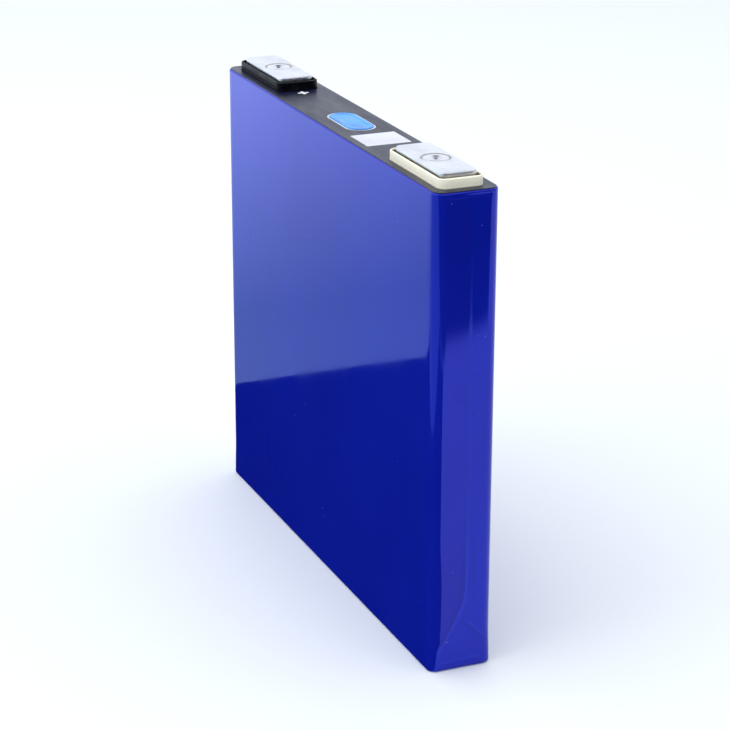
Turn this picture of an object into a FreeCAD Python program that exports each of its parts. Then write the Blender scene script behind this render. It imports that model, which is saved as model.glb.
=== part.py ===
"""Prismatic lithium battery cell, upright, terminals on top.

Frame: millimetres, +Z up, +X along the cell's width towards the negative
terminal, +Y through its thickness from front to rear. The origin is the middle
of the bottom face. Every size is a cell of the sheet "Dimensions", and every
piece is bound to those cells by expressions.
"""
import FreeCAD, Part
import Sketcher
import ast
import math
import os
import re

Vector = FreeCAD.Vector

doc = FreeCAD.newDocument("PrismaticCell")

# ---------------------------------------------------------------------------
# driving dimensions: alias, value, note
# ---------------------------------------------------------------------------
DIMENSIONS = [
    # envelope
    ("cell_width", 148.2, "overall width over the wrap, along X"),
    ("cell_depth", 17.7, "overall thickness over the wrap, along Y"),
    ("cell_height", 131.9, "bottom face to the top of the terminal pads"),
    ("body_height", 128.45, "bottom face to the top of the cover patch"),
    ("corner_radius", 3.0, "upright corners over the wrap"),
    ("bottom_radius", 1.2, "bottom edge over the wrap"),
    # wrap film
    ("wrap_film", 0.15, "one layer of the wrap film"),
    ("wrap_fold", 0.35, "folded layers of the wrap under the cell"),
    ("wrap_lip", 2.2, "film turned over onto the lid"),
    ("wrap_edge", 0.3, "rounding where the film turns onto the lid"),
    ("skin_gap", 0.02, "air between the wrap and the can"),
    ("sheet_film", 0.25, "sheet between the can's bottom and the wrap"),
    ("sheet_inset", 1.8, "the sheet's edge, in from the wrap's side"),
    ("overcut", 1.0, "how far a cut runs past the wall it opens"),
    # cover patch and label
    ("patch_film", 0.2, "cover patch above the wrap's lip"),
    ("patch_inset", 0.38, "the patch's edge, in from the wrap's side"),
    ("patch_corner", 2.6, "the patch's corner radius"),
    ("patch_gap", 0.1, "window clearance round the insulators"),
    ("mark_depth", 0.06, "depth of the polarity marks"),
    ("mark_size", 3.2, "overall length of the plus mark's arms"),
    ("mark_stroke", 0.9, "stroke width of the polarity marks"),
    ("minus_short", 0.3, "how much shorter the minus mark is"),
    ("minus_corner", 0.1, "corner radius of the minus mark"),
    ("minus_place", 36.1, "X of the minus mark"),
    ("plus_place", -35.2, "X of the plus mark"),
    ("label_length", 11.65, "code label along X"),
    ("label_width", 12.6, "code label along Y"),
    ("label_corner", 0.3, "code label corner radius"),
    ("label_film", 0.3, "code label thickness"),
    ("label_place", 20.1, "X of the code label"),
    ("label_gap", 0.06, "window clearance round the label"),
    ("label_window_corner", 0.35, "corner radius of the label's window"),
    # can and lid
    ("can_wall", 0.6, "side wall of the can"),
    ("can_bottom", 1.0, "bottom of the can"),
    ("can_foot", 1.0, "outer rounding of the can's bottom edge"),
    ("can_inner_foot", 0.5, "inner rounding of the can's bottom edge"),
    ("lid_thickness", 1.5, "lid plate"),
    ("lid_gap", 0.05, "lid edge to can wall"),
    # terminals
    ("terminal_place", 54.4, "X of each terminal's centre, either side"),
    ("pad_length", 29.2, "terminal pad along X"),
    ("pad_width", 10.1, "terminal pad along Y"),
    ("pad_corner", 1.9, "terminal pad corner radius"),
    ("pad_edge", 0.35, "rounding of the pad's top edge"),
    ("pad_bore", 3.5, "radius of the pad's bore round the post"),
    ("pad_bevel", 0.28, "bevel at the mouth of the pad's bore"),
    ("post_radius", 3.47, "radius of the post's column"),
    ("post_bevel", 0.26, "bevel on the post's top edge"),
    ("dimple_radius", 2.0, "radius of the centre dimple in the post"),
    ("dimple_depth", 0.85, "depth of the centre dimple"),
    ("post_flange", 5.6, "radius of the post's inner flange"),
    ("post_flange_thickness", 1.2, "thickness of that flange"),
    ("post_spigot", 1.95, "radius of the spigot that holds the collector"),
    ("tray_length", 32.6, "terminal insulator along X"),
    ("tray_width", 12.4, "terminal insulator along Y"),
    ("tray_corner", 2.4, "terminal insulator corner radius"),
    ("tray_rise", 2.4, "insulator rim above the cover patch"),
    ("tray_floor", 0.8, "floor of the insulator under the pad"),
    ("tray_pocket_length", 30.8, "insulator pocket along X"),
    ("tray_pocket_width", 11.2, "insulator pocket along Y"),
    ("tray_pocket_corner", 1.3, "insulator pocket corner radius"),
    ("tray_edge", 0.18, "rounding of the insulator's rim"),
    ("tray_bore", 3.55, "radius of the insulator's bore"),
    ("lid_bore", 4.8, "radius of the lid's terminal holes"),
    ("seal_bore", 3.52, "inner radius of the seal"),
    ("seal_sleeve", 4.75, "outer radius of the seal inside the lid"),
    ("seal_flange", 6.2, "outer radius of the seal under the lid"),
    ("seal_flange_thickness", 0.8, "seal squeezed under the lid"),
    # vent
    ("vent_length", 20.6, "vent ring along X"),
    ("vent_width", 8.6, "vent ring along Y"),
    ("vent_throat_length", 17.4, "vent ring opening along X"),
    ("vent_throat_width", 5.4, "vent ring opening along Y"),
    ("vent_port_length", 18.4, "lid opening under the ring, along X"),
    ("vent_port_width", 6.4, "lid opening under the ring, along Y"),
    ("vent_seat", 0.9, "depth of the ring's seat in the lid"),
    ("vent_proud", 0.3, "vent ring above the lid"),
    ("vent_edge", 0.12, "rounding of the ring's outer top edge"),
    ("vent_gap", 0.05, "clearance round the ring and the petal"),
    ("petal_thickness", 0.15, "burst petal"),
    ("petal_drop", 0.1, "petal below the ring's top"),
    ("petal_rib", 0.12, "stiffening bead on the petal's underside"),
    ("bead_end_inset", 2.0, "the bead's ends, in from the ring's opening"),
    ("bead_side_inset", 1.7, "the bead's sides, in from the ring's opening"),
    ("vent_film_length", 19.4, "vent film along X"),
    ("vent_film_width", 7.8, "vent film along Y"),
    ("vent_film_thickness", 0.15, "vent film"),
    # filling port
    ("fill_place", -22.0, "X of the filling port"),
    ("fill_hole", 1.3, "radius of the filling hole"),
    ("fill_seat", 2.3, "radius of the plug's seat"),
    ("fill_seat_depth", 0.4, "depth of the plug's seat below the cap's"),
    ("fill_cap_seat", 4.1, "radius of the cap's seat"),
    ("fill_cap_depth", 0.6, "depth of the cap's seat"),
    ("fill_cap_radius", 4.03, "radius of the cap"),
    ("fill_cap_thickness", 0.55, "cap plate"),
    ("fill_cap_bevel", 0.15, "bevel on the cap's top edge"),
    ("plug_head", 2.2, "radius of the plug's head"),
    ("plug_head_thickness", 0.38, "thickness of the plug's head"),
    ("plug_stem", 1.26, "radius of the plug's stem"),
    ("plug_tail", 0.4, "the plug's stem below the lid"),
    ("plug_tip_height", 0.25, "height of the taper at the stem's end"),
    ("plug_tip_taper", 0.3, "radius lost over that taper"),
    # plastics under the lid
    ("under_thickness", 1.6, "lower insulator plate"),
    ("under_inner", 12.0, "inner end of the lower insulators, from X = 0"),
    ("under_outer", 72.4, "outer end of the lower insulators, from X = 0"),
    ("under_width", 15.2, "lower insulators along Y"),
    ("under_corner", 0.8, "corner radius of the lower insulators and vent guard"),
    ("under_bore", 6.3, "radius of the hole round the seal"),
    ("fill_clearance", 1.6, "clearance round the filling hole, under the lid"),
    ("skirt_thickness", 0.7, "lower insulator's side skirts"),
    ("skirt_drop", 3.0, "skirts below the plate"),
    ("grille_length", 23.4, "vent guard along X"),
    ("grille_slot_length", 9.0, "vent guard slot along Y"),
    ("grille_slot_width", 1.5, "vent guard slot along X"),
    ("grille_slot_flat", 0.01, "slot corner radius, less than half its width"),
    ("grille_span", 15.0, "first to last vent guard slot"),
    # current collectors and tabs
    ("collector_thickness", 1.0, "collector under the post"),
    ("collector_outer", 63.5, "outer end of the collectors, from X = 0"),
    ("collector_inner", 23.0, "inner end of the collectors, from X = 0"),
    ("collector_neck", 45.5, "where the collector steps to its weld plate"),
    ("collector_taper", 2.0, "length of that step along X"),
    ("collector_width", 12.4, "collectors along Y"),
    ("collector_corner", 1.2, "corner radius of the collectors' ends"),
    ("collector_gap", 0.02, "collector hole clearance round the spigot"),
    ("weld_plate_width", 9.6, "collector's weld plate along Y"),
    ("tab_length", 20.0, "electrode tabs along X"),
    ("tab_place", 34.5, "X of the tabs' centre, either side"),
    ("tab_thickness", 0.5, "pressed stack of tab foils"),
    ("tab_reach", 3.7, "inner face of the upright tab leg, from Y = 0"),
    ("tab_end", 0.3, "free end of the turned-in tab leg, from Y = 0"),
    ("tab_bend", 0.8, "outer bend of the tab stack"),
    ("tape_film", 0.06, "insulating tapes"),
    ("weld_tape_width", 6.0, "tape over the tab welds, along Y"),
    ("weld_tape_inset", 0.5, "that tape's ends, in from the tab's"),
    # electrode rolls and their bag
    ("roll_length", 143.6, "electrode roll along X"),
    ("roll_thickness", 7.6, "electrode roll along Y"),
    ("roll_height", 115.5, "electrode roll along Z"),
    ("roll_foot", 2.62, "bottom of the electrode rolls"),
    ("roll_gap", 0.2, "gap between the two rolls"),
    ("core_length", 135.8, "flattened winding core along X"),
    ("core_width", 0.4, "flattened winding core along Y"),
    ("roll_tape_length", 22.0, "roll's closing tape along X"),
    ("roll_tape_height", 104.0, "roll's closing tape along Z"),
    ("roll_tape_place", 18.0, "X of the closing tapes"),
    ("bag_film", 0.12, "insulating bag"),
    ("bag_gap", 0.15, "bag to can wall"),
    ("bag_top", 121.0, "top edge of the bag"),
    ("bag_lift", 0.05, "bag above the can's bottom"),
    ("spacer_lift", 0.02, "bottom spacer above the bag's bottom"),
    ("spacer_length", 142.0, "bottom spacer along X"),
    ("spacer_width", 14.6, "bottom spacer along Y"),
    ("spacer_corner", 1.5, "bottom spacer corner radius"),
    ("spacer_thickness", 0.8, "bottom spacer"),
    ("spacer_slot_length", 12.0, "bottom spacer slot along X"),
    ("spacer_slot_width", 4.0, "bottom spacer slot along Y"),
    ("spacer_span", 112.0, "first to last slot of the bottom spacer"),
]

# levels and sizes that follow from the others: alias, formula, note
DERIVED = [
    ("lip_top", "body_height - patch_film", "top of the wrap's lip"),
    ("lid_top", "lip_top - wrap_film", "top of the lid and can"),
    ("lid_bottom", "lid_top - lid_thickness", "underside of the lid"),
    ("patch_cut", "patch_film + wrap_film", "full thickness of the patch"),
    ("can_base", "wrap_fold + sheet_film", "underside of the can"),
    ("can_floor", "can_base + can_bottom", "inner face of the can's bottom"),
    ("can_length", "cell_width - 2 * (wrap_film + skin_gap)", "can along X"),
    ("can_width", "cell_depth - 2 * (wrap_film + skin_gap)", "can along Y"),
    ("can_corner", "corner_radius - wrap_film - skin_gap", "can's upright corners"),
    ("cavity_length", "can_length - 2 * can_wall", "inside of the can along X"),
    ("cavity_width", "can_width - 2 * can_wall", "inside of the can along Y"),
    ("cavity_corner", "can_corner - can_wall", "can's inner upright corners"),
    ("tray_height", "patch_cut + tray_rise", "terminal insulator along Z"),
    ("tray_face", "lid_top + tray_floor", "upper face of the insulator's floor"),
    ("pad_height", "cell_height - tray_face", "terminal pad along Z"),
    ("post_seat", "lid_bottom - seal_flange_thickness", "top of the post's flange"),
    ("post_face", "post_seat - post_flange_thickness", "underside of that flange"),
    ("collector_face", "post_face - collector_thickness", "underside of the collectors"),
    ("ring_height", "vent_seat + vent_proud", "vent ring along Z"),
    ("ring_top", "lid_top + vent_proud", "top of the vent ring"),
    ("plug_seat", "lid_top - fill_cap_depth - fill_seat_depth", "seat of the plug's head"),
    ("plug_end", "lid_bottom - plug_tail", "lower end of the plug"),
    ("under_face", "lid_bottom - under_thickness", "underside of the insulator plates"),
    ("under_length", "under_outer - under_inner", "lower insulators along X"),
    ("under_middle", "(under_inner + under_outer) / 2", "their centre, from X = 0"),
    ("tab_face", "collector_face - tab_thickness", "underside of the turned-in tab leg"),
    ("roll_place", "(roll_gap + roll_thickness) / 2", "rolls' centre, from Y = 0"),
    ("bag_foot", "can_floor + bag_lift", "underside of the bag"),
    ("bag_length", "cavity_length - 2 * bag_gap", "bag along X"),
    ("bag_width", "cavity_width - 2 * bag_gap", "bag along Y"),
    ("bag_corner", "cavity_corner - bag_gap", "bag's upright corners"),
]

GUARD_SLOTS = 6
SPACER_SLOTS = 8
POLES = (("negative", 1), ("positive", -1))  # name, side of X = 0
ROWS = (("front", -1), ("rear", 1))  # name, side of Y = 0
TOLERANCE = 1e-4  # for finding edges at a known place
EDGE_SLACK = 0.01  # for finding edges inside or outside a limit
BORE_CLEARANCE = 0.3  # sorts the pad's outer edges from its bevelled bore

NUMBERS = {}


def number(formula):
    """The formula's value now, used to build near the bound place."""

    def value(node):
        if isinstance(node, ast.Constant):
            return float(node.value)
        if isinstance(node, ast.Name):
            return NUMBERS[node.id]
        if isinstance(node, ast.UnaryOp):
            return -value(node.operand)
        left, right = value(node.left), value(node.right)
        if isinstance(node.op, ast.Add):
            return left + right
        if isinstance(node.op, ast.Sub):
            return left - right
        if isinstance(node.op, ast.Mult):
            return left * right
        return left / right

    return value(ast.parse(formula).body[0].value)


def bound(formula):
    """The formula as an expression that reads the sheet's cells."""
    return re.sub(r"[A-Za-z_]\w*", r"Dimensions.\g<0>", formula)


def fill_sheet():
    sheet = doc.addObject("Spreadsheet::Sheet", "Dimensions")
    sheet.set("A1", "what it is")
    sheet.set("B1", "millimetres")
    rows = [(alias, "%g" % value, "%g" % value, note) for alias, value, note in DIMENSIONS]
    rows += [(alias, formula, "=" + formula, note) for alias, formula, note in DERIVED]
    for row, (alias, formula, content, note) in enumerate(rows, start=2):
        sheet.set("A%d" % row, note)
        sheet.set("B%d" % row, content)
        sheet.setAlias("B%d" % row, alias)
        NUMBERS[alias] = number(formula)
    doc.recompute()


# ---------------------------------------------------------------------------
# bodies and sketches; every size and place is given as a formula
# ---------------------------------------------------------------------------
PIECES = []


def bind(obj, prop, formula):
    setattr(obj, prop, number(formula))
    obj.setExpression(prop, bound(formula))


def bind_place(obj, prop, x="0", y="0", z="0"):
    """Binds the base of a placement property."""
    base = Vector(number(x), number(y), number(z))
    setattr(obj, prop, FreeCAD.Placement(base, FreeCAD.Rotation()))
    for axis, formula in (("x", x), ("y", y), ("z", z)):
        if formula != "0":
            obj.setExpression("%s.Base.%s" % (prop, axis), bound(formula))


def new_body(name, listed=True, **at):
    """A piece's body; one that is not listed only shapes another piece."""
    body = doc.addObject("PartDesign::Body", "Body_" + name)
    body.Label = name
    bind_place(body, "Placement", **at)
    if listed:
        PIECES.append(body)
    return body


def new_sketch(body, name, plane="XY_Plane", **at):
    """A sketch on an origin plane; x, y and z run in the plane's own
    directions, z along its normal."""
    sketch = body.newObject("Sketcher::SketchObject", name)
    support = next(f for f in body.Origin.OriginFeatures if f.Role == plane)
    sketch.AttachmentSupport = [(support, "")]
    sketch.MapMode = "FlatFace"
    bind_place(sketch, "AttachmentOffset", **at)
    return sketch


def size(sketch, kind, formula, *where):
    """A dimension of the sketch, bound to the sheet."""
    index = sketch.addConstraint(Sketcher.Constraint(kind, *where, number(formula)))
    sketch.setExpression("Constraints[%d]" % index, bound(formula))


def segment(x1, y1, x2, y2):
    return Part.LineSegment(Vector(x1, y1, 0), Vector(x2, y2, 0))


def arc(x, y, radius, start, sweep):
    ring = Part.Circle(Vector(x, y, 0), Vector(0, 0, 1), radius)
    return Part.ArcOfCircle(ring, start, start + sweep)


def closed(sketch, curves, joint):
    """Adds the curves and joins each one's end to the next one's start."""
    ring = [sketch.addGeometry(curve, False) for curve in curves]
    for this, following in zip(ring, ring[1:] + ring[:1]):
        sketch.addConstraint(Sketcher.Constraint(joint, this, 2, following, 1))
    return ring


def rounded_rectangle(sketch, length, width, radius):
    a, b, r = number(length) / 2, number(width) / 2, number(radius)
    quarter = math.pi / 2
    curves = (
        segment(-a + r, -b, a - r, -b),
        arc(a - r, -b + r, r, -quarter, quarter),
        segment(a, -b + r, a, b - r),
        arc(a - r, b - r, r, 0, quarter),
        segment(a - r, b, -a + r, b),
        arc(-a + r, b - r, r, quarter, quarter),
        segment(-a, b - r, -a, -b + r),
        arc(-a + r, -b + r, r, math.pi, quarter),
    )
    ring = closed(sketch, curves, "Tangent")
    south, south_east, east, north_east, north, north_west, west, south_west = ring
    for side, direction in (
        (south, "Horizontal"),
        (north, "Horizontal"),
        (east, "Vertical"),
        (west, "Vertical"),
    ):
        sketch.addConstraint(Sketcher.Constraint(direction, side))
    for other in (north_east, north_west, south_west):
        sketch.addConstraint(Sketcher.Constraint("Equal", south_east, other))
    size(sketch, "Radius", radius, south_east)
    size(sketch, "DistanceX", length, west, 1, east, 1)
    size(sketch, "DistanceY", width, south, 1, north, 1)
    size(sketch, "DistanceX", f"({length}) / 2", -1, 1, east, 1)
    size(sketch, "DistanceY", f"({width}) / 2", -1, 1, north, 1)


def obround(sketch, length, width):
    """A slot shape along the sketch's first direction."""
    r = number(width) / 2
    c = number(length) / 2 - r
    curves = (
        segment(-c, -r, c, -r),
        arc(c, 0, r, -math.pi / 2, math.pi),
        segment(c, r, -c, r),
        arc(-c, 0, r, math.pi / 2, math.pi),
    )
    south, east, _, west = closed(sketch, curves, "Tangent")
    sketch.addConstraint(Sketcher.Constraint("Horizontal", south))
    sketch.addConstraint(Sketcher.Constraint("PointOnObject", east, 3, -1))
    size(sketch, "Radius", f"({width}) / 2", east)
    size(sketch, "DistanceX", f"({length} - ({width})) / 2", -1, 1, east, 3)
    size(sketch, "DistanceX", f"{length} - ({width})", west, 3, east, 3)


def circle(sketch, radius):
    ring = Part.Circle(Vector(0, 0, 0), Vector(0, 0, 1), number(radius))
    index = sketch.addGeometry(ring, False)
    sketch.addConstraint(Sketcher.Constraint("Coincident", index, 3, -1, 1))
    size(sketch, "Radius", radius, index)


def outline(sketch, corners):
    """A closed line through the corners, each a pair of formulas."""
    points = [(number(u), number(v)) for u, v in corners]
    curves = [segment(*p, *q) for p, q in zip(points, points[1:] + points[:1])]
    lines = closed(sketch, curves, "Coincident")
    for line, (u, v) in zip(lines, corners):
        if u == "0":
            sketch.addConstraint(Sketcher.Constraint("PointOnObject", line, 1, -2))
        else:
            size(sketch, "DistanceX", u, -1, 1, line, 1)
        if v == "0":
            sketch.addConstraint(Sketcher.Constraint("PointOnObject", line, 1, -1))
        else:
            size(sketch, "DistanceY", v, -1, 1, line, 1)


# ---------------------------------------------------------------------------
# features
# ---------------------------------------------------------------------------
def settle(feature):
    """Recomputes, and stops at once if the feature did not build."""
    doc.recompute()
    if "Invalid" in feature.State or "Error" in feature.State or feature.Shape.isNull():
        raise RuntimeError("%s did not build" % feature.Label)
    return feature


def pad(body, name, height, draw, *sizes, **at):
    """Draws a shape and raises it along the sketch's normal."""
    sketch = new_sketch(body, name + "Outline", **at)
    draw(sketch, *sizes)
    feature = body.newObject("PartDesign::Pad", name + "Pad")
    feature.Profile = sketch
    feature.Type = 0
    bind(feature, "Length", height)


def cut(body, name, depth, draw, *sizes, **at):
    """Draws a shape and cuts it against the sketch's normal."""
    sketch = new_sketch(body, name, **at)
    draw(sketch, *sizes)
    before = body.Tip
    doc.recompute()
    volume = before.Shape.Volume
    feature = body.newObject("PartDesign::Pocket", name + "Cut")
    feature.Profile = sketch
    feature.Type = 0
    bind(feature, "Length", depth)
    settle(feature)
    if not feature.Shape.Volume < volume - 1e-4:
        raise RuntimeError("%s in %s cut nothing" % (name, body.Label))
    return feature


def repeat(body, feature, span, count, name):
    """Repeats a cut along X, spread over the span."""
    volume = feature.Shape.Volume
    pattern = body.newObject("PartDesign::LinearPattern", name)
    pattern.Originals = [feature]
    pattern.Direction = (feature.Profile[0], ["H_Axis"])
    bind(pattern, "Length", span)
    pattern.Occurrences = count
    body.Tip = pattern
    settle(pattern)
    if not pattern.Shape.Volume < volume - 1:
        raise RuntimeError("%s in %s cut nothing" % (name, body.Label))


def turn(name, corners, **at):
    """A piece turned about Z; corners are pairs of radius and height."""
    body = new_body(name, **at)
    sketch = new_sketch(body, "Section", plane="XZ_Plane")
    outline(sketch, corners)
    feature = body.newObject("PartDesign::Revolution", "Turn")
    feature.Profile = sketch
    feature.ReferenceAxis = (sketch, ["V_Axis"])
    feature.Angle = 360.0


def dress(body, kind, prop, test, amount, name):
    """Dresses the edges of the body's last feature whose box passes the test."""
    base = body.Tip
    doc.recompute()
    edges = ["Edge%d" % i for i, e in enumerate(base.Shape.Edges, start=1) if test(e.BoundBox)]
    if not edges:
        raise RuntimeError("%s in %s has no edge" % (name, body.Label))
    feature = body.newObject("PartDesign::" + kind, name)
    feature.Base = (base, edges)
    bind(feature, prop, amount)
    settle(feature)


def fillet(body, test, radius, name):
    dress(body, "Fillet", "Radius", test, radius, name)


def chamfer(body, test, width, name):
    dress(body, "Chamfer", "Size", test, width, name)


def flat_at(level):
    """Test for edges that lie in the plane z = level."""
    z = number(level)
    return lambda box: abs(box.ZMin - z) < TOLERANCE and abs(box.ZMax - z) < TOLERANCE


def reach_x(box):
    return max(abs(box.XMin), abs(box.XMax))


def reach_y(box):
    return max(abs(box.YMin), abs(box.YMax))


def hollowed(name, outside, inside):
    """A thin shell: one body less another."""
    shell = doc.addObject("Part::Cut", "Shell_" + name)
    shell.Base = outside
    shell.Tool = inside
    shell.Label = name
    PIECES.append(shell)
    settle(shell)


def strip(name, length, width, height, x="0", y="0", z="0"):
    """A rectangular strip, centred on x and y, standing on z."""
    box = doc.addObject("Part::Box", "Strip_" + name)
    box.Label = name
    bind(box, "Length", length)
    bind(box, "Width", width)
    bind(box, "Height", height)
    bind_place(box, "Placement", f"{x} - ({length}) / 2", f"{y} - ({width}) / 2", z)
    PIECES.append(box)


# ---------------------------------------------------------------------------
# wrap, cover patch and label
# ---------------------------------------------------------------------------
def outer_wrap():
    """A bag of film, folded under the cell and lipped onto the lid."""
    outside = new_body("wrap_outside", listed=False)
    pad(outside, "Wrap", "lip_top",
        rounded_rectangle, "cell_width", "cell_depth", "corner_radius")
    fillet(outside, flat_at("0"), "bottom_radius", "WrapFoot")
    fillet(outside, flat_at("lip_top"), "wrap_edge", "WrapTurn")
    cut(outside, "WrapMouth", "wrap_film + overcut", rounded_rectangle,
        "cell_width - 2 * wrap_lip", "cell_depth - 2 * wrap_lip", "corner_radius - wrap_lip",
        z="lip_top")
    inside = new_body("wrap_inside", listed=False, z="wrap_fold")
    pad(inside, "Core", "lid_top - wrap_fold", rounded_rectangle,
        "cell_width - 2 * wrap_film", "cell_depth - 2 * wrap_film", "corner_radius - wrap_film")
    fillet(inside, flat_at("0"), "bottom_radius - wrap_film", "CoreFoot")
    hollowed("outer_wrap", outside, inside)


def bottom_sheet():
    """Sheet between the can's bottom and the wrap's folds."""
    body = new_body("bottom_sheet", z="wrap_fold")
    pad(body, "Sheet", "sheet_film", rounded_rectangle,
        "cell_width - 2 * sheet_inset", "cell_depth - 2 * sheet_inset",
        "corner_radius - sheet_inset")


def plus_mark(sketch):
    arm, stroke = "mark_size / 2", "mark_stroke / 2"
    outline(sketch, [
        (stroke, "-" + arm),
        (stroke, "-" + stroke),
        (arm, "-" + stroke),
        (arm, stroke),
        (stroke, stroke),
        (stroke, arm),
        ("-" + stroke, arm),
        ("-" + stroke, stroke),
        ("-" + arm, stroke),
        ("-" + arm, "-" + stroke),
        ("-" + stroke, "-" + stroke),
        ("-" + stroke, "-" + arm),
    ])


def top_patch():
    """Patch on the lid, with windows for the insulators, vent and label. Its
    lower step fills the opening inside the wrap's lip."""
    body = new_body("top_patch")
    pad(body, "Patch", "patch_film", rounded_rectangle,
        "cell_width - 2 * patch_inset", "cell_depth - 2 * patch_inset", "patch_corner",
        z="lip_top")
    pad(body, "PatchStep", "wrap_film", rounded_rectangle,
        "cell_width - 2 * wrap_lip - 2 * skin_gap",
        "cell_depth - 2 * wrap_lip - 2 * skin_gap",
        "corner_radius - wrap_lip",
        z="lid_top")
    for pole, sign in POLES:
        cut(body, pole.title() + "Window", "patch_cut", rounded_rectangle,
            "tray_length + 2 * patch_gap", "tray_width + 2 * patch_gap",
            "tray_corner + patch_gap",
            x=f"{sign} * terminal_place", z="body_height")
    cut(body, "VentWindow", "patch_cut",
        obround, "vent_length + 4 * vent_gap", "vent_width + 4 * vent_gap",
        z="body_height")
    cut(body, "LabelWindow", "patch_cut", rounded_rectangle,
        "label_length + 2 * label_gap", "label_width + 2 * label_gap", "label_window_corner",
        x="label_place", z="body_height")
    cut(body, "MinusMark", "mark_depth",
        rounded_rectangle, "mark_size - minus_short", "mark_stroke", "minus_corner",
        x="minus_place", z="body_height")
    cut(body, "PlusMark", "mark_depth", plus_mark, x="plus_place", z="body_height")


def code_label():
    """Blank label in the patch's window."""
    body = new_body("code_label", x="label_place", z="lid_top")
    pad(body, "Label", "label_film",
        rounded_rectangle, "label_length", "label_width", "label_corner")


# ---------------------------------------------------------------------------
# can and lid
# ---------------------------------------------------------------------------
def can():
    """Drawn can, open at the top."""
    body = new_body("can")
    pad(body, "Can", "lid_top - can_base",
        rounded_rectangle, "can_length", "can_width", "can_corner", z="can_base")
    fillet(body, flat_at("can_base"), "can_foot", "CanFoot")
    cut(body, "CanInside", "lid_top - can_floor",
        rounded_rectangle, "cavity_length", "cavity_width", "cavity_corner", z="lid_top")
    fillet(body, flat_at("can_floor"), "can_inner_foot", "CanInnerFoot")


def lid():
    """Lid plate, flush in the can's mouth."""
    body = new_body("lid")
    pad(body, "Lid", "lid_thickness", rounded_rectangle,
        "cavity_length - 2 * lid_gap", "cavity_width - 2 * lid_gap", "cavity_corner - lid_gap",
        z="lid_bottom")
    for pole, sign in POLES:
        cut(body, pole.title() + "Bore", "lid_thickness",
            circle, "lid_bore", x=f"{sign} * terminal_place", z="lid_top")
    cut(body, "VentPort", "lid_thickness",
        obround, "vent_port_length", "vent_port_width", z="lid_top")
    cut(body, "VentSeat", "vent_seat",
        obround, "vent_length + 2 * vent_gap", "vent_width + 2 * vent_gap", z="lid_top")
    for name, depth, radius in (
        ("CapSeat", "fill_cap_depth", "fill_cap_seat"),
        ("PlugSeat", "fill_cap_depth + fill_seat_depth", "fill_seat"),
        ("FillHole", "lid_thickness", "fill_hole"),
    ):
        cut(body, name, depth, circle, radius, x="fill_place", z="lid_top")


# ---------------------------------------------------------------------------
# terminals; pole is the name's first word, x the terminal's place
# ---------------------------------------------------------------------------
def terminal_pad(pole, x):
    """Metal block round the post, standing in the insulator's pocket."""
    body = new_body(pole + "_terminal_pad", x=x, z="tray_face")
    pad(body, "Pad", "pad_height",
        rounded_rectangle, "pad_length", "pad_width", "pad_corner")
    cut(body, "PadBore", "pad_height", circle, "pad_bore", z="pad_height")
    on_top = flat_at("pad_height")
    bore_limit = number("pad_bore") + EDGE_SLACK
    chamfer(body, lambda box: on_top(box) and reach_x(box) < bore_limit,
            "pad_bevel", "PadBoreBevel")
    outer_limit = number("pad_bore + pad_bevel") + BORE_CLEARANCE
    fillet(body, lambda box: on_top(box) and max(reach_x(box), reach_y(box)) > outer_limit,
           "pad_edge", "PadEdge")


def post(pole, x):
    """Rivet through the lid, its head in the pad's bore."""
    turn(pole + "_post", [
        ("0", "cell_height - dimple_depth"),
        ("dimple_radius", "cell_height"),
        ("post_radius - post_bevel", "cell_height"),
        ("post_radius", "cell_height - post_bevel"),
        ("post_radius", "post_seat"),
        ("post_flange", "post_seat"),
        ("post_flange", "post_face"),
        ("post_spigot", "post_face"),
        ("post_spigot", "collector_face"),
        ("0", "collector_face"),
    ], x=x)


def terminal_insulator(pole, x):
    """A tray with a rim round the pad."""
    body = new_body(pole + "_insulator", x=x, z="lid_top")
    pad(body, "Tray", "tray_height",
        rounded_rectangle, "tray_length", "tray_width", "tray_corner")
    cut(body, "TrayPocket", "tray_height - tray_floor", rounded_rectangle,
        "tray_pocket_length", "tray_pocket_width", "tray_pocket_corner",
        z="tray_height")
    cut(body, "TrayBore", "tray_floor", circle, "tray_bore", z="tray_floor")
    fillet(body, flat_at("tray_height"), "tray_edge", "TrayEdge")


def seal_ring(pole, x):
    """A sleeve in the lid's hole with a flange squeezed under the lid."""
    turn(pole + "_seal_ring", [
        ("seal_bore", "post_seat"),
        ("seal_flange", "post_seat"),
        ("seal_flange", "lid_bottom"),
        ("seal_sleeve", "lid_bottom"),
        ("seal_sleeve", "lid_top"),
        ("seal_bore", "lid_top"),
    ], x=x)


# ---------------------------------------------------------------------------
# vent
# ---------------------------------------------------------------------------
def vent_ring():
    """Ring seated in the lid, standing a little above it."""
    body = new_body("vent_ring", z="lid_top - vent_seat")
    pad(body, "Ring", "ring_height", obround, "vent_length", "vent_width")
    cut(body, "RingThroat", "ring_height",
        obround, "vent_throat_length", "vent_throat_width", z="ring_height")
    on_top = flat_at("ring_height")
    outer_limit = number("vent_width / 2") - EDGE_SLACK
    fillet(body, lambda box: on_top(box) and reach_y(box) > outer_limit,
           "vent_edge", "RingEdge")


def vent_petal():
    """Burst petal in the ring's opening, with a bead on its underside."""
    body = new_body("vent_petal", z="ring_top - petal_drop - petal_thickness")
    pad(body, "Petal", "petal_thickness", obround,
        "vent_throat_length - 2 * vent_gap", "vent_throat_width - 2 * vent_gap")
    pad(body, "PetalBead", "petal_rib", obround,
        "vent_throat_length - 2 * bead_end_inset", "vent_throat_width - 2 * bead_side_inset",
        z="-petal_rib")


def vent_film():
    """Protective film on top of the ring."""
    body = new_body("vent_film", z="ring_top")
    pad(body, "Film", "vent_film_thickness", obround, "vent_film_length", "vent_film_width")


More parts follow.
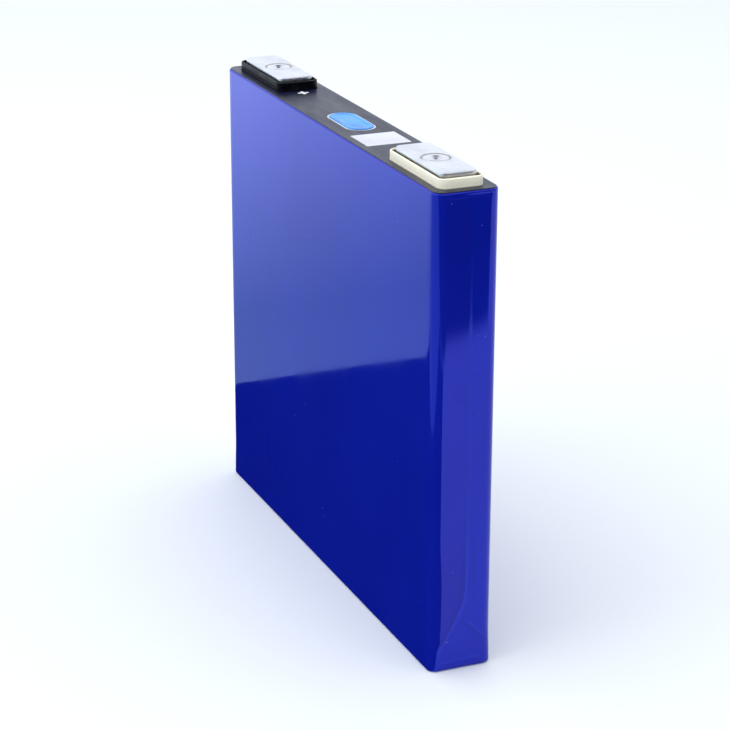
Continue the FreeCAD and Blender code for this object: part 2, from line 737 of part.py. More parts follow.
def vent_guard():
    """Slotted plate under the vent."""
    body = new_body("vent_guard", z="under_face")
    pad(body, "Guard", "under_thickness",
        rounded_rectangle, "grille_length", "under_width", "under_corner")
    slot = cut(body, "GuardSlot", "under_thickness", rounded_rectangle,
               "grille_slot_width", "grille_slot_length",
               "grille_slot_width / 2 - grille_slot_flat",
               x="-grille_span / 2", z="under_thickness")
    repeat(body, slot, "grille_span", GUARD_SLOTS, "GuardSlots")


# ---------------------------------------------------------------------------
# filling port
# ---------------------------------------------------------------------------
def fill_plug():
    """Rubber plug with a flat head and a tapered tip."""
    turn("fill_plug", [
        ("0", "plug_seat + plug_head_thickness"),
        ("plug_head", "plug_seat + plug_head_thickness"),
        ("plug_head", "plug_seat"),
        ("plug_stem", "plug_seat"),
        ("plug_stem", "plug_end + plug_tip_height"),
        ("plug_stem - plug_tip_taper", "plug_end"),
        ("0", "plug_end"),
    ], x="fill_place")


def fill_cap():
    """Cap over the plug."""
    body = new_body("fill_cap", x="fill_place", z="lid_top - fill_cap_depth")
    pad(body, "Cap", "fill_cap_thickness", circle, "fill_cap_radius")
    chamfer(body, flat_at("fill_cap_thickness"), "fill_cap_bevel", "CapEdge")


# ---------------------------------------------------------------------------
# lower insulators, collectors and tabs
# ---------------------------------------------------------------------------
def lower_insulator(pole, sign):
    """Plate under the lid, with side skirts."""
    body = new_body(pole + "_lower_insulator", x=f"{sign} * under_middle", z="under_face")
    pad(body, "Under", "under_thickness + skirt_drop",
        rounded_rectangle, "under_length", "under_width", "under_corner", z="-skirt_drop")
    # The channel between the skirts is open at both ends. A cut runs downwards,
    # so its sketch lies at the plate's lower face.
    end = "under_length / 2 + overcut"
    side = "under_width / 2 - skirt_thickness"
    cut(body, "UnderChannel", "skirt_drop", outline, [
        (f"-({end})", f"-({side})"),
        (end, f"-({side})"),
        (end, side),
        (f"-({end})", side),
    ])
    cut(body, "UnderBore", "under_thickness", circle, "under_bore",
        x=f"{sign} * (terminal_place - under_middle)", z="under_thickness")
    if pole == "positive":
        # the filling port is on this side
        cut(body, "FillClear", "under_thickness", circle, "fill_hole + fill_clearance",
            x="fill_place + under_middle", z="under_thickness")


def current_collector(pole, sign):
    """Plate riveted under the post, stepping in to a narrower weld plate."""
    body = new_body(pole + "_current_collector", z="collector_face")
    outer = f"{sign} * collector_outer"
    inner = f"{sign} * collector_inner"
    neck = f"{sign} * collector_neck"
    step = f"{sign} * (collector_neck - collector_taper)"
    pad(body, "Collector", "collector_thickness", outline, [
        (outer, "-collector_width / 2"),
        (outer, "collector_width / 2"),
        (neck, "collector_width / 2"),
        (step, "weld_plate_width / 2"),
        (inner, "weld_plate_width / 2"),
        (inner, "-weld_plate_width / 2"),
        (step, "-weld_plate_width / 2"),
        (neck, "-collector_width / 2"),
    ])
    ends = (number(outer), number(inner))
    half_thickness = number("collector_thickness / 2")

    def end_corner(box):
        at_end = min(abs(box.XMin - end) for end in ends) < TOLERANCE
        return box.ZLength > half_thickness and at_end

    fillet(body, end_corner, "collector_corner", "CollectorCorners")
    cut(body, "CollectorHole", "collector_thickness", circle, "post_spigot + collector_gap",
        x=f"{sign} * terminal_place", z="collector_thickness")


def tab(pole, sign, row, side):
    """Pressed foil stack that rises from a roll and turns in under the collector."""
    body = new_body(f"{pole}_tab_{row}", x=f"{sign} * tab_place")
    near = f"{side} * tab_reach"
    far = f"{side} * (tab_reach + tab_thickness)"
    free_end = f"{side} * tab_end"
    pad(body, "Tab", "tab_length", outline, [
        (near, "roll_foot + roll_height"),
        (far, "roll_foot + roll_height"),
        (far, "collector_face"),
        (free_end, "collector_face"),
        (free_end, "tab_face"),
        (near, "tab_face"),
    ], plane="YZ_Plane", z="-tab_length / 2")

    def long_edge(reach, level):
        y = number(reach)
        flat = flat_at(level)
        quarter_length = number("tab_length / 4")
        return lambda box: (
            box.XLength > quarter_length and abs(reach_y(box) - y) < TOLERANCE and flat(box)
        )

    fillet(body, long_edge("tab_reach + tab_thickness", "collector_face"),
           "tab_bend", "TabBend")
    fillet(body, long_edge("tab_reach", "tab_face"),
           "tab_bend - tab_thickness", "TabInnerBend")


def weld_tape(pole, sign):
    """Tape over the tab welds."""
    strip(pole + "_weld_tape",
          "tab_length - 2 * weld_tape_inset", "weld_tape_width", "tape_film",
          x=f"{sign} * tab_place", z="tab_face - tape_film")


# ---------------------------------------------------------------------------
# rolls, bag and spacer
# ---------------------------------------------------------------------------
def jelly_roll(row, side):
    """Electrode roll, wound about a flattened core."""
    body = new_body("jelly_roll_" + row, y=f"{side} * roll_place", z="roll_foot")
    pad(body, "Roll", "roll_height", obround, "roll_length", "roll_thickness")
    cut(body, "RollCore", "roll_height", obround, "core_length", "core_width",
        z="roll_height")


def roll_tape(row, side):
    """Closing tape on the roll's outer face."""
    strip("roll_tape_" + row, "roll_tape_length", "tape_film", "roll_tape_height",
          x="roll_tape_place",
          y=f"{side} * (roll_gap / 2 + roll_thickness + tape_film / 2)",
          z="roll_foot + (roll_height - roll_tape_height) / 2")


def insulation_bag():
    """Insulating bag round both rolls, open at the top."""
    outside = new_body("bag_outside", listed=False, z="bag_foot")
    pad(outside, "Bag", "bag_top - bag_foot",
        rounded_rectangle, "bag_length", "bag_width", "bag_corner")
    fillet(outside, flat_at("0"), "can_inner_foot", "BagFoot")
    inside = new_body("bag_inside", listed=False, z="bag_foot + bag_film")
    pad(inside, "BagCore", "bag_top - can_floor", rounded_rectangle,
        "bag_length - 2 * bag_film", "bag_width - 2 * bag_film", "bag_corner - bag_film")
    fillet(inside, flat_at("0"), "can_inner_foot - bag_film", "BagCoreFoot")
    hollowed("insulation_bag", outside, inside)


def bottom_spacer():
    """Spacer the rolls stand on, slotted so that electrolyte can pass."""
    body = new_body("bottom_spacer", z="bag_foot + bag_film + spacer_lift")
    pad(body, "Spacer", "spacer_thickness",
        rounded_rectangle, "spacer_length", "spacer_width", "spacer_corner")
    slot = cut(body, "SpacerSlot", "spacer_thickness",
               obround, "spacer_slot_length", "spacer_slot_width",
               x="-spacer_span / 2", z="spacer_thickness")
    repeat(body, slot, "spacer_span", SPACER_SLOTS, "SpacerSlots")


def export():
    """Stops on any faulty object, then writes one STEP file per piece."""
    doc.recompute()
    for obj in doc.Objects:
        if "Invalid" in obj.State or "Error" in obj.State:
            raise RuntimeError("%s (%s) is %s" % (obj.Label, obj.Name, obj.State))
    for piece in PIECES:
        shape = piece.Shape
        if shape.isNull() or not shape.isValid() or not shape.Solids:
            raise RuntimeError(piece.Label + " has no valid solid")
    os.makedirs("parts", exist_ok=True)
    for piece in PIECES:
        piece.Shape.exportStep(os.path.join("parts", piece.Label + ".step"))


fill_sheet()
outer_wrap()
bottom_sheet()
top_patch()
code_label()
can()
lid()
for pole, sign in POLES:
    for build in (terminal_pad, post, terminal_insulator, seal_ring):
        build(pole, f"{sign} * terminal_place")
vent_ring()
vent_petal()
vent_film()
vent_guard()
fill_plug()
fill_cap()
for pole, sign in POLES:
    lower_insulator(pole, sign)
    current_collector(pole, sign)
    for row, side in ROWS:
        tab(pole, sign, row, side)
    weld_tape(pole, sign)
for row, side in ROWS:
    jelly_roll(row, side)
    roll_tape(row, side)
insulation_bag()
bottom_spacer()
export()
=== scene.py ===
"""A prismatic battery cell in glossy blue film, standing on z = 0.

Its width lies along X, its thickness along Y, and its lid faces up. The lid carries two
terminals in moulded trays, a slot-shaped vent, a small label and a thin black cover patch.
The plus mark is on the -X side and the minus mark on the +X side.
"""
import math

import bmesh
import bpy
import numpy as np
from mathutils import Matrix, Vector
from mathutils.geometry import delaunay_2d_cdt


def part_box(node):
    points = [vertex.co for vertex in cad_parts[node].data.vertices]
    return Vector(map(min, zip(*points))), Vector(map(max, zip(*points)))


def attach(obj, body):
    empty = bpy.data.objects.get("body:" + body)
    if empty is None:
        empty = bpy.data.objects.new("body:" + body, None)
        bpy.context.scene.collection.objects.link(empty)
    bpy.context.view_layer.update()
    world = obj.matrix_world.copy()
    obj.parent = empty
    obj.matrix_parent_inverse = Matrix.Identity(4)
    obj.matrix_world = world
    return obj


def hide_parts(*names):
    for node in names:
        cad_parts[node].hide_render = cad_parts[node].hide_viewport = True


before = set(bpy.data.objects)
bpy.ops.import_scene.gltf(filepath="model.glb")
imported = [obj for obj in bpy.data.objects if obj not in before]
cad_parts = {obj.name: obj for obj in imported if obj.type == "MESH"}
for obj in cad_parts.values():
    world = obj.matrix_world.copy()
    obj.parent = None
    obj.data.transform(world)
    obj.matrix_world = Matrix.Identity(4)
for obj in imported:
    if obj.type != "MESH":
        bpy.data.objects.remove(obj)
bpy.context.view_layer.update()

# Mesh lengths are in millimetres and become metres when a mesh is built.
# Materials, lights and camera are in metres.
MM = 0.001
TAU = 2 * math.pi

# Directions in a section drawn as (inset from the outline, height).
INWARD, UP, OUTWARD, DOWN = 0.0, math.pi / 2, math.pi, 1.5 * math.pi


def corners_mm(node):
    """Lowest and highest corner of a CAD node."""
    lo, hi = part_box(node)
    return np.array(lo) * 1000.0, np.array(hi) * 1000.0


def measures(node):
    """Middle in X, half size in X and Y, bottom and top of a CAD node."""
    lo, hi = corners_mm(node)
    return (lo[0] + hi[0]) / 2, (hi[0] - lo[0]) / 2, (hi[1] - lo[1]) / 2, lo[2], hi[2]


# ---------------------------------------------------------------------------
# sizes shared by several pieces
# ---------------------------------------------------------------------------
WRAP_HALF_X, WRAP_HALF_Y, LIP_TOP = corners_mm("outer_wrap")[1]
PATCH_HALF_X, PATCH_HALF_Y, PATCH_TOP = corners_mm("top_patch")[1]
LID_BOTTOM = corners_mm("lid")[0][2]
LID_TOP = corners_mm("lid")[1][2]
FILM_THICKNESS = LIP_TOP - LID_TOP
TERMINAL_X = 0.0544              # metres from the middle, for the terminal materials


# ---------------------------------------------------------------------------
# outlines, all anticlockwise from the start of the -Y side
# ---------------------------------------------------------------------------
def smooth(start, end, x):
    t = np.clip((np.asarray(x, float) - start) / (end - start), 0, 1)
    return t * t * (3 - 2 * t)


def band(x, rise_start, rise_end, fall_start, fall_end):
    """1 between the rise and the fall, 0 outside them."""
    return smooth(rise_start, rise_end, x) * (1 - smooth(fall_start, fall_end, x))


def hump(distance, width):
    return np.exp(-((distance / width) ** 2))


def rounded_rect(half_x, half_y, radius, steps, centre_x=0.0):
    """Rounded rectangle; steps counts those on an X side, on a Y side and on a corner."""
    steps_x, steps_y, steps_arc = steps
    radius = max(radius, 0.02)
    left, right = -half_x + radius, half_x - radius
    south, north = -half_y + radius, half_y - radius
    # start and end of each side, its steps, and the centre of the arc after it
    sides = (
        ((left, -half_y), (right, -half_y), steps_x, (right, south)),
        ((half_x, south), (half_x, north), steps_y, (right, north)),
        ((right, half_y), (left, half_y), steps_x, (left, north)),
        ((-half_x, north), (-half_x, south), steps_y, (left, south)),
    )
    points = []
    for quarter, (start, end, count, arc) in enumerate(sides, -1):
        for i in range(1, count):
            t = i / count
            points.append((start[0] + (end[0] - start[0]) * t,
                           start[1] + (end[1] - start[1]) * t))
        for i in range(steps_arc + 1):
            angle = quarter * math.pi / 2 + math.pi / 2 * i / steps_arc
            points.append((arc[0] + radius * math.cos(angle), arc[1] + radius * math.sin(angle)))
    return np.array(points) + (centre_x, 0.0)


def matched_circle(radius, steps, centre_x=0.0):
    """Circle whose points pair with those of a rounded rectangle with equal sides' steps."""
    side, arc = steps[0], steps[2]
    count = 4 * (side - 1) + 4 * (arc + 1)
    corner_middle = (side - 1) + arc / 2  # index of the middle of the (+X, -Y) corner
    angle = -math.pi / 4 + (np.arange(count) - corner_middle) * TAU / count
    return np.stack([centre_x + radius * np.cos(angle), radius * np.sin(angle)], -1)


def slot_outline(length, width, steps, centre_x=0.0):
    """Slot along X; steps counts those on a straight side and on an end."""
    straight, arc = steps
    radius = width / 2
    reach = length / 2 - radius
    points = []
    for sign in (1, -1):
        for i in range(1, straight):
            points.append((-sign * (reach - 2 * reach * i / straight), -sign * radius))
        for i in range(arc + 1):
            angle = -sign * math.pi / 2 + math.pi * i / arc
            points.append((sign * reach + radius * math.cos(angle), radius * math.sin(angle)))
    return np.array(points) + (centre_x, 0.0)


def circle(radius, count, centre_x):
    angle = np.arange(count) * TAU / count
    return np.stack([centre_x + radius * np.cos(angle), radius * np.sin(angle)], -1)


def arc_section(inset, height, radius, start, end, steps):
    """Points (inset, height) of an arc about the given centre."""
    angles = [start + (end - start) * i / steps for i in range(steps + 1)]
    return [(inset + radius * math.cos(a), height + radius * math.sin(a)) for a in angles]


def wave(u, v, seed):
    """Slow ripple between about -1 and 1, the same every run."""
    rng = np.random.default_rng(seed)
    total = 0.0
    for _ in range(6):
        u_rate, v_rate = rng.uniform(-1, 1, 2)
        phase = rng.uniform(0, TAU)
        total = total + np.sin(u_rate * u + v_rate * v + phase)
    return total / 3.2


# ---------------------------------------------------------------------------
# mesh building
# ---------------------------------------------------------------------------
class Mesh:
    """Collects points and faces in millimetres. A ring is a list of point indices."""

    def __init__(self):
        self.points, self.faces, self.slots = [], [], []

    def add(self, points):
        start = len(self.points)
        self.points.extend([tuple(map(float, p)) for p in points])
        return list(range(start, len(self.points)))

    def loop(self, outline, z):
        z = np.broadcast_to(np.asarray(z, float), (len(outline),))
        return self.add(np.column_stack([outline, z]))

    def face(self, ids, slot=0):
        distinct = list(dict.fromkeys(ids))
        if len(distinct) > 2:
            self.faces.append(distinct)
            self.slots.append(slot)

    def bridge(self, first, second, slot=0):
        count = len(first)
        for i in range(count):
            j = (i + 1) % count
            self.face([first[i], first[j], second[j], second[i]], slot)

    def loft(self, rings, close=False, slot=0):
        for first, second in zip(rings, rings[1:]):
            self.bridge(first, second, slot)
        if close:
            self.bridge(rings[-1], rings[0], slot)

    def fan(self, ring, centre):
        hub = self.add([centre])[0]
        for i in range(len(ring)):
            self.face([ring[i], ring[(i + 1) % len(ring)], hub])

    def slot_fill(self, ring, steps):
        """Closes a slot outline with quads across it, starting at the tip of its +X end."""
        straight, arc = steps
        count = len(ring)
        tip = (straight - 1) + arc // 2
        for k in range(count // 2):
            self.face([ring[(tip - k) % count], ring[(tip + k) % count],
                       ring[(tip + k + 1) % count], ring[(tip - k - 1) % count]])

    def grid_fill(self, ring, steps, height):
        """Closes a rounded rectangle with a grid; height(x, y) gives z inside."""
        steps_x, steps_y, arc = steps
        columns, rows = steps_x + arc, steps_y + arc
        count = len(ring)
        # ring indices of the grid's corners
        south_east = (steps_x - 1) + arc // 2
        north_west = south_east + rows + columns
        south_west = north_west + rows
        south = [ring[(south_east - columns + k) % count] for k in range(columns + 1)]
        east = [ring[(south_east + k) % count] for k in range(rows + 1)]
        north = [ring[(north_west - k) % count] for k in range(columns + 1)]
        west = [ring[(south_west - k) % count] for k in range(rows + 1)]
        grid = [[None] * (rows + 1) for _ in range(columns + 1)]
        for i in range(columns + 1):
            grid[i][0], grid[i][rows] = south[i], north[i]
        for j in range(rows + 1):
            grid[0][j], grid[columns][j] = west[j], east[j]
        low, high, left, right = (
            np.array([self.points[i][:2] for i in side]) for side in (south, north, west, east)
        )
        for i in range(1, columns):
            u = i / columns
            for j in range(1, rows):
                w = j / rows
                x, y = (
                    (1 - w) * low[i] + w * high[i] + (1 - u) * left[j] + u * right[j]
                    - (1 - u) * (1 - w) * low[0] - u * (1 - w) * low[columns]
                    - (1 - u) * w * high[0] - u * w * high[columns]
                )
                grid[i][j] = self.add([(x, y, height(x, y))])[0]
        for i in range(columns):
            for j in range(rows):
                self.face([grid[i][j], grid[i + 1][j], grid[i + 1][j + 1], grid[i][j + 1]])

    def build(self, name, sharp_angle):
        """Makes the object, smooth shaded, with edges over sharp_angle degrees kept sharp."""
        mesh = bpy.data.meshes.new(name)
        mesh.from_pydata([(x * MM, y * MM, z * MM) for x, y, z in self.points], [], self.faces)
        mesh.polygons.foreach_set("material_index", self.slots)
        bm = bmesh.new()
        bm.from_mesh(mesh)
        bmesh.ops.recalc_face_normals(bm, faces=bm.faces)
        bm.to_mesh(mesh)
        bm.free()
        mesh.polygons.foreach_set("use_smooth", [True] * len(mesh.polygons))
        mesh.set_sharp_from_angle(angle=math.radians(sharp_angle))
        mesh.update()
        return link_object(name, mesh)


def link_object(name, data):
    obj = bpy.data.objects.new(name, data)
    bpy.context.scene.collection.objects.link(obj)
    return obj


# ---------------------------------------------------------------------------
# shader building
# ---------------------------------------------------------------------------
MATERIALS = {}


class Graph:
    """A node tree. Any value may be a number, a colour or another node's output."""

    def __init__(self, tree):
        self.tree = tree
        tree.nodes.clear()

    def put(self, socket, value):
        if isinstance(value, bpy.types.NodeSocket):
            self.tree.links.new(value, socket)
        elif socket.type == "RGBA" and len(value) == 3:
            socket.default_value = (*value, 1.0)
        else:
            socket.default_value = value

    def node(self, kind, inputs=None, **settings):
        node = self.tree.nodes.new("ShaderNode" + kind)
        for key, value in settings.items():
            setattr(node, key, value)
        for key, value in (inputs or {}).items():
            self.put(node.inputs[key], value)
        return node

    def axes(self, vector):
        return self.node("SeparateXYZ", {0: vector}).outputs

    def math(self, operation, first, second=0.0, third=None):
        inputs = {0: first, 1: second}
        if third is not None:
            inputs[2] = third
        return self.node("Math", inputs, operation=operation).outputs[0]

    def times(self, first, second):
        return self.math("MULTIPLY", first, second)

    def ramp(self, value, over, to=(0.0, 1.0), kind="SMOOTHSTEP"):
        inputs = {"Value": value, "From Min": over[0], "From Max": over[1],
                  "To Min": to[0], "To Max": to[1]}
        return self.node("MapRange", inputs, interpolation_type=kind).outputs["Result"]

    def mix(self, share, first, second):
        return self.node("Mix", {0: share, 6: first, 7: second}, data_type="RGBA").outputs[2]


class Look(Graph):
    """A Principled material that is laid out by object position, in metres."""

    def __init__(self, name):
        material = bpy.data.materials.new(name)
        material.use_nodes = True
        super().__init__(material.node_tree)
        MATERIALS[name] = material
        self.bsdf = self.node("BsdfPrincipled")
        self.node("OutputMaterial", {"Surface": self.bsdf.outputs["BSDF"]})
        self.position = self.node("TexCoord").outputs["Object"]

    def set(self, **values):
        for key, value in values.items():
            self.put(self.bsdf.inputs[key.replace("_", " ")], value)

    def source(self, key):
        """The output that feeds an input of the Principled node."""
        return self.bsdf.inputs[key].links[0].from_socket

    def placed(self, stretch=(1, 1, 1), shift=(0, 0, 0), turn=(0, 0, 0)):
        inputs = {"Vector": self.position, "Scale": stretch, "Location": shift, "Rotation": turn}
        return self.node("Mapping", inputs).outputs["Vector"]

    def noise(self, scale, detail=2, rough=0.5, distortion=0.0, **placing):
        inputs = {"Vector": self.placed(**placing) if placing else self.position,
                  "Scale": scale, "Detail": detail, "Roughness": rough,
                  "Distortion": distortion}
        return self.node("TexNoise", inputs).outputs["Fac"]

    def cells(self, scale, **placing):
        vector = self.placed(**placing) if placing else self.position
        return self.node("TexVoronoi", {"Vector": vector, "Scale": scale}).outputs["Distance"]

    def bumps(self, *layers, under=None):
        """Stacks bump layers of (height, strength, distance) over a normal."""
        for height, strength, distance in layers:
            inputs = {"Strength": strength, "Distance": distance, "Height": height}
            if under is not None:
                inputs["Normal"] = under
            under = self.node("Bump", inputs).outputs["Normal"]
        return under


def srgb(*rgb):
    """Linear colour from 0-255 sRGB values."""
    scaled = [c / 255.0 for c in rgb]
    return tuple(c / 12.92 if c <= 0.04045 else ((c + 0.055) / 1.055) ** 2.4 for c in scaled)


def scaled_colour(colour, factor):
    return tuple(c * factor for c in colour)


def dress(obj, *names):
    slots = obj.data.materials
    for k, name in enumerate(names):
        if k < len(slots):
            slots[k] = MATERIALS[name]
        else:
            slots.append(MATERIALS[name])


def finish(obj, materials, ride, node):
    """Gives a piece its materials and tells the frame what it rides on and replaces."""
    dress(obj, *materials)
    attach(obj, ride)
    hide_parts(node)


# ---------------------------------------------------------------------------
# materials
# ---------------------------------------------------------------------------
def blue_film():
    """Dyed film over bright aluminium: part of its mirror image comes back blue."""
    look = Look("blue_film")
    cloud = look.noise(scale=14, detail=3)
    deep, pale = (0.0040, 0.0125, 0.37), (0.0052, 0.0165, 0.44)
    colour = look.mix(look.ramp(cloud, over=(0.3, 0.7)), deep, pale)
    attribute = look.node("Attribute", attribute_name="fold").outputs["Color"]
    channels = look.node("SeparateColor", {0: attribute}).outputs
    # channel of the fold attribute, its share, its colour; the last two rows are painted shade and
    # painted highlights
    folds = (
        (0, 0.55, (0.0090, 0.0090, 0.295)),  # doubled film
        (2, 0.42, (0.0030, 0.0070, 0.22)),   # painted shade in the valleys
        (1, 0.32, (0.030, 0.050, 0.62)),     # painted highlights on the ridges
    )
    for channel, share, tone in folds:
        colour = look.mix(look.times(channels[channel], share), colour, tone)
    # a few specks of dust, and faint smears that only change the gloss
    speck = look.cells(scale=700, shift=(0.013, 0.02, 0.007))
    pick = look.noise(scale=150, shift=(3.1, 0.4, 1.7))
    dust = look.times(look.ramp(speck, over=(0.115, 0.05)), look.ramp(pick, over=(0.65, 0.69)))
    dust_tint, dust_dulling = 0.45, 0.4
    colour = look.mix(look.times(dust, dust_tint), colour, srgb(190, 200, 235))
    smear = look.noise(scale=26, detail=4, rough=0.6, distortion=0.8,
                       stretch=(1, 1, 0.35), shift=(1.7, 0.2, 0.9))
    rough = look.math("ADD", look.ramp(smear, over=(0.35, 0.75), to=(0.045, 0.10)),
                      look.times(dust, dust_dulling))
    ripple = look.noise(scale=75, rough=0.45, stretch=(1, 1, 0.45))
    draw_lines = look.noise(scale=230, stretch=(1, 1, 0.05), shift=(0.7, 0.1, 0))
    peel = look.noise(scale=620)
    scratch = look.noise(scale=420, detail=1, stretch=(1, 1, 0.03), shift=(0.3, 0, 0))
    hairline = look.noise(scale=900, detail=1, stretch=(0.04, 1, 1), shift=(0.2, 0.6, 0),
                          turn=(0, 0.5, 0))
    normal = look.bumps(
        (ripple, 0.34, 0.00006),
        (draw_lines, 0.14, 0.000020),
        (peel, 0.035, 0.000012),
        (look.ramp(scratch, over=(0.68, 0.73)), 0.16, 0.000008),
        (look.ramp(hairline, over=(0.70, 0.74)), 0.14, 0.000006),
    )
    look.set(Base_Color=colour, Metallic=0.37, Roughness=rough, IOR=1.46, Normal=normal)


def black_patch():
    look = Look("black_patch")
    cloud = look.noise(scale=35, detail=3, rough=0.6)
    colour = look.mix(look.ramp(cloud, over=(0.35, 0.7)), srgb(14, 17, 40), srgb(21, 25, 52))
    grain = look.noise(scale=4200, rough=0.6)
    rub = look.noise(scale=160, detail=4, rough=0.65, distortion=0.6, stretch=(0.25, 1, 1))
    dust = look.times(look.ramp(look.cells(scale=700), over=(0.10, 0.05)),
                      look.ramp(look.noise(scale=180, detail=1), over=(0.60, 0.66)))
    dust_tint = 0.35
    colour = look.mix(look.times(dust, dust_tint), colour, srgb(170, 172, 185))
    normal = look.bumps((grain, 0.16, 0.00002), (look.noise(scale=240), 0.10, 0.00003))
    look.set(Base_Color=colour, Roughness=look.ramp(rub, over=(0.3, 0.75), to=(0.30, 0.42)),
             IOR=1.39, Normal=normal, Specular_Tint=(0.80, 0.88, 1.0))


def white_ink():
    look = Look("white_ink")
    grain = look.noise(scale=4000, rough=0.6)
    worn = look.noise(scale=1800, detail=3, rough=0.6)
    colour = look.mix(look.ramp(worn, over=(0.60, 0.75)), srgb(238, 240, 245),
                      srgb(190, 193, 205))
    look.set(Base_Color=colour, Roughness=0.5, Normal=look.bumps((grain, 0.2, 0.00002)))


def metal(name, colour, rough, streak, streak_scale, depth, dark):
    """Worked metal: brushed streaks, blotches and fine scuffs."""
    look = Look(name)
    lines = look.noise(scale=streak_scale, detail=3, rough=0.6, stretch=streak)
    blotch = look.noise(scale=120, detail=4, rough=0.6)
    base = look.mix(look.ramp(blotch, over=(0.3, 0.75)), colour, scaled_colour(colour, dark))
    bright = tuple(min(1, c * 1.06) for c in colour)
    base = look.mix(look.ramp(lines, over=(0.45, 0.62), to=(0.0, 0.35)), base, bright)
    scuff = look.noise(scale=60, detail=5, rough=0.7, distortion=1.5,
                       stretch=(1, 2.5, 1), shift=(2, 1, 0))
    roughness = look.math("ADD", look.ramp(blotch, over=(0.25, 0.8), to=rough),
                          look.ramp(scuff, over=(0.55, 0.75), to=(0.0, 0.10)))
    dents = look.noise(scale=420, detail=3, rough=0.6)
    normal = look.bumps((lines, 0.35, depth), (dents, 0.2, depth * 2))
    look.set(Base_Color=base, Metallic=1.0, Roughness=roughness, Normal=normal)
    return look


def terminal_radius(look):
    """Distance in plan from the nearer terminal's axis."""
    x, y, _ = look.axes(look.position)
    offset = look.math("SUBTRACT", look.math("ABSOLUTE", x), TERMINAL_X)
    squares = look.math("ADD", look.times(offset, offset), look.times(y, y))
    return look.math("SQRT", squares)


def ragged(look, radius, scale):
    """A radius made uneven by up to 0.3 mm either way."""
    wobble = look.math("MULTIPLY_ADD", look.noise(scale=scale), 0.0006, -0.0003)
    return look.math("ADD", radius, wobble)


def pad_metal():
    """Terminal pad with a tinted ring round the rivet."""
    look = metal("pad_metal", (0.80, 0.81, 0.85), rough=(0.24, 0.36), streak=(0.12, 1, 1),
                 streak_scale=1500, depth=0.000008, dark=0.86)
    radius = ragged(look, terminal_radius(look), scale=900)
    ring = look.times(look.ramp(radius, over=(0.0031, 0.0035)),
                      look.ramp(radius, over=(0.0043, 0.0037)))
    ring_share = 0.68
    look.set(Base_Color=look.mix(look.times(ring, ring_share), look.source("Base Color"),
                                 srgb(150, 138, 122)))


def post_metal():
    """Turned rivet with painted shade, a dark patch, in the middle of its dimple."""
    look = metal("post_metal", (0.78, 0.79, 0.83), rough=(0.18, 0.28), streak=(1, 1, 1),
                 streak_scale=1200, depth=0.000004, dark=0.88)
    radius = terminal_radius(look)
    dimple_painted_shade_area = look.ramp(ragged(look, radius, scale=1500), over=(0.00105, 0.00060))
    dimple_painted_shade_share = 0.62
    turning_pitch = 0.00022
    # painted shade: the middle of the dimple is darkened
    colour = look.mix(look.times(dimple_painted_shade_area, dimple_painted_shade_share), look.source("Base Color"),
                      (0.20, 0.19, 0.20))
    turned = look.math("SINE", look.times(radius, TAU / turning_pitch))
    look.set(Base_Color=colour,
             Normal=look.bumps((turned, 0.10, 0.000003), under=look.source("Normal")))


def plastic(name, colour, rough, grain, depth, dark, subsurface, ior, gloss):
    """Moulded plastic: fine spark grain, flow clouds and slight gloss change."""
    look = Look(name)
    cloud = look.noise(scale=45, detail=4, rough=0.55, distortion=0.6)
    shade = scaled_colour(colour, dark)
    base = look.mix(look.ramp(cloud, over=(0.3, 0.75)), colour, shade)
    specks = look.ramp(look.cells(scale=1400), over=(0.16, 0.05), to=(0.0, 0.25))
    base = look.mix(specks, base, scaled_colour(shade, 0.9))
    fine = look.noise(scale=grain, detail=3, rough=0.6)
    broad = look.noise(scale=180, detail=3)
    normal = look.bumps((broad, 0.10, depth * 2), (fine, 0.22, depth))
    look.set(Base_Color=base, Roughness=look.ramp(broad, over=(0.3, 0.7), to=rough), IOR=ior,
             Normal=normal, Specular_IOR_Level=gloss)
    if subsurface:
        look.set(Subsurface_Weight=subsurface, Subsurface_Radius=(0.0008, 0.0006, 0.0004),
                 Subsurface_Scale=1.0)


def vent_film_blue():
    """Light blue film with painted shade that darkens it towards both ends."""
    look = Look("vent_film_blue")
    cloud = look.noise(scale=190, detail=3, stretch=(0.5, 1, 1))
    colour = look.mix(look.ramp(cloud, over=(0.35, 0.72)), srgb(3, 150, 234), srgb(2, 121, 215))
    distance_x = look.math("ABSOLUTE", look.axes(look.position)[0])
    # painted shade: the film is darkened towards both ends
    ends = look.ramp(distance_x, over=(0.0062, 0.0094))
    end_painted_shade_share = 0.35
    colour = look.mix(look.times(ends, end_painted_shade_share), colour, srgb(4, 104, 206))
    ripple = look.noise(scale=260, stretch=(1, 0.4, 1))
    normal = look.bumps((ripple, 0.30, 0.00006), (look.noise(scale=2400), 0.12, 0.00001))
    look.set(Base_Color=colour, Roughness=look.ramp(ripple, over=(0.3, 0.7), to=(0.14, 0.24)),
             IOR=1.36, Normal=normal)


def silver_label():
    look = Look("silver_label")
    sweep = look.noise(scale=70, distortion=0.4, stretch=(1, 0.35, 1), shift=(0.4, 0, 0))
    colour = look.mix(look.ramp(sweep, over=(0.3, 0.75)), (0.71, 0.72, 0.79), (0.58, 0.60, 0.68))
    lines = look.noise(scale=1500, stretch=(0.06, 1, 1))
    colour = look.mix(look.ramp(lines, over=(0.4, 0.65), to=(0.0, 0.2)), colour,
                      (0.76, 0.77, 0.83))
    normal = look.bumps((lines, 0.2, 0.000008), (look.noise(scale=210), 0.25, 0.00003))
    look.set(Base_Color=colour, Metallic=0.2, Normal=normal,
             Roughness=look.ramp(sweep, over=(0.3, 0.7), to=(0.34, 0.46)))


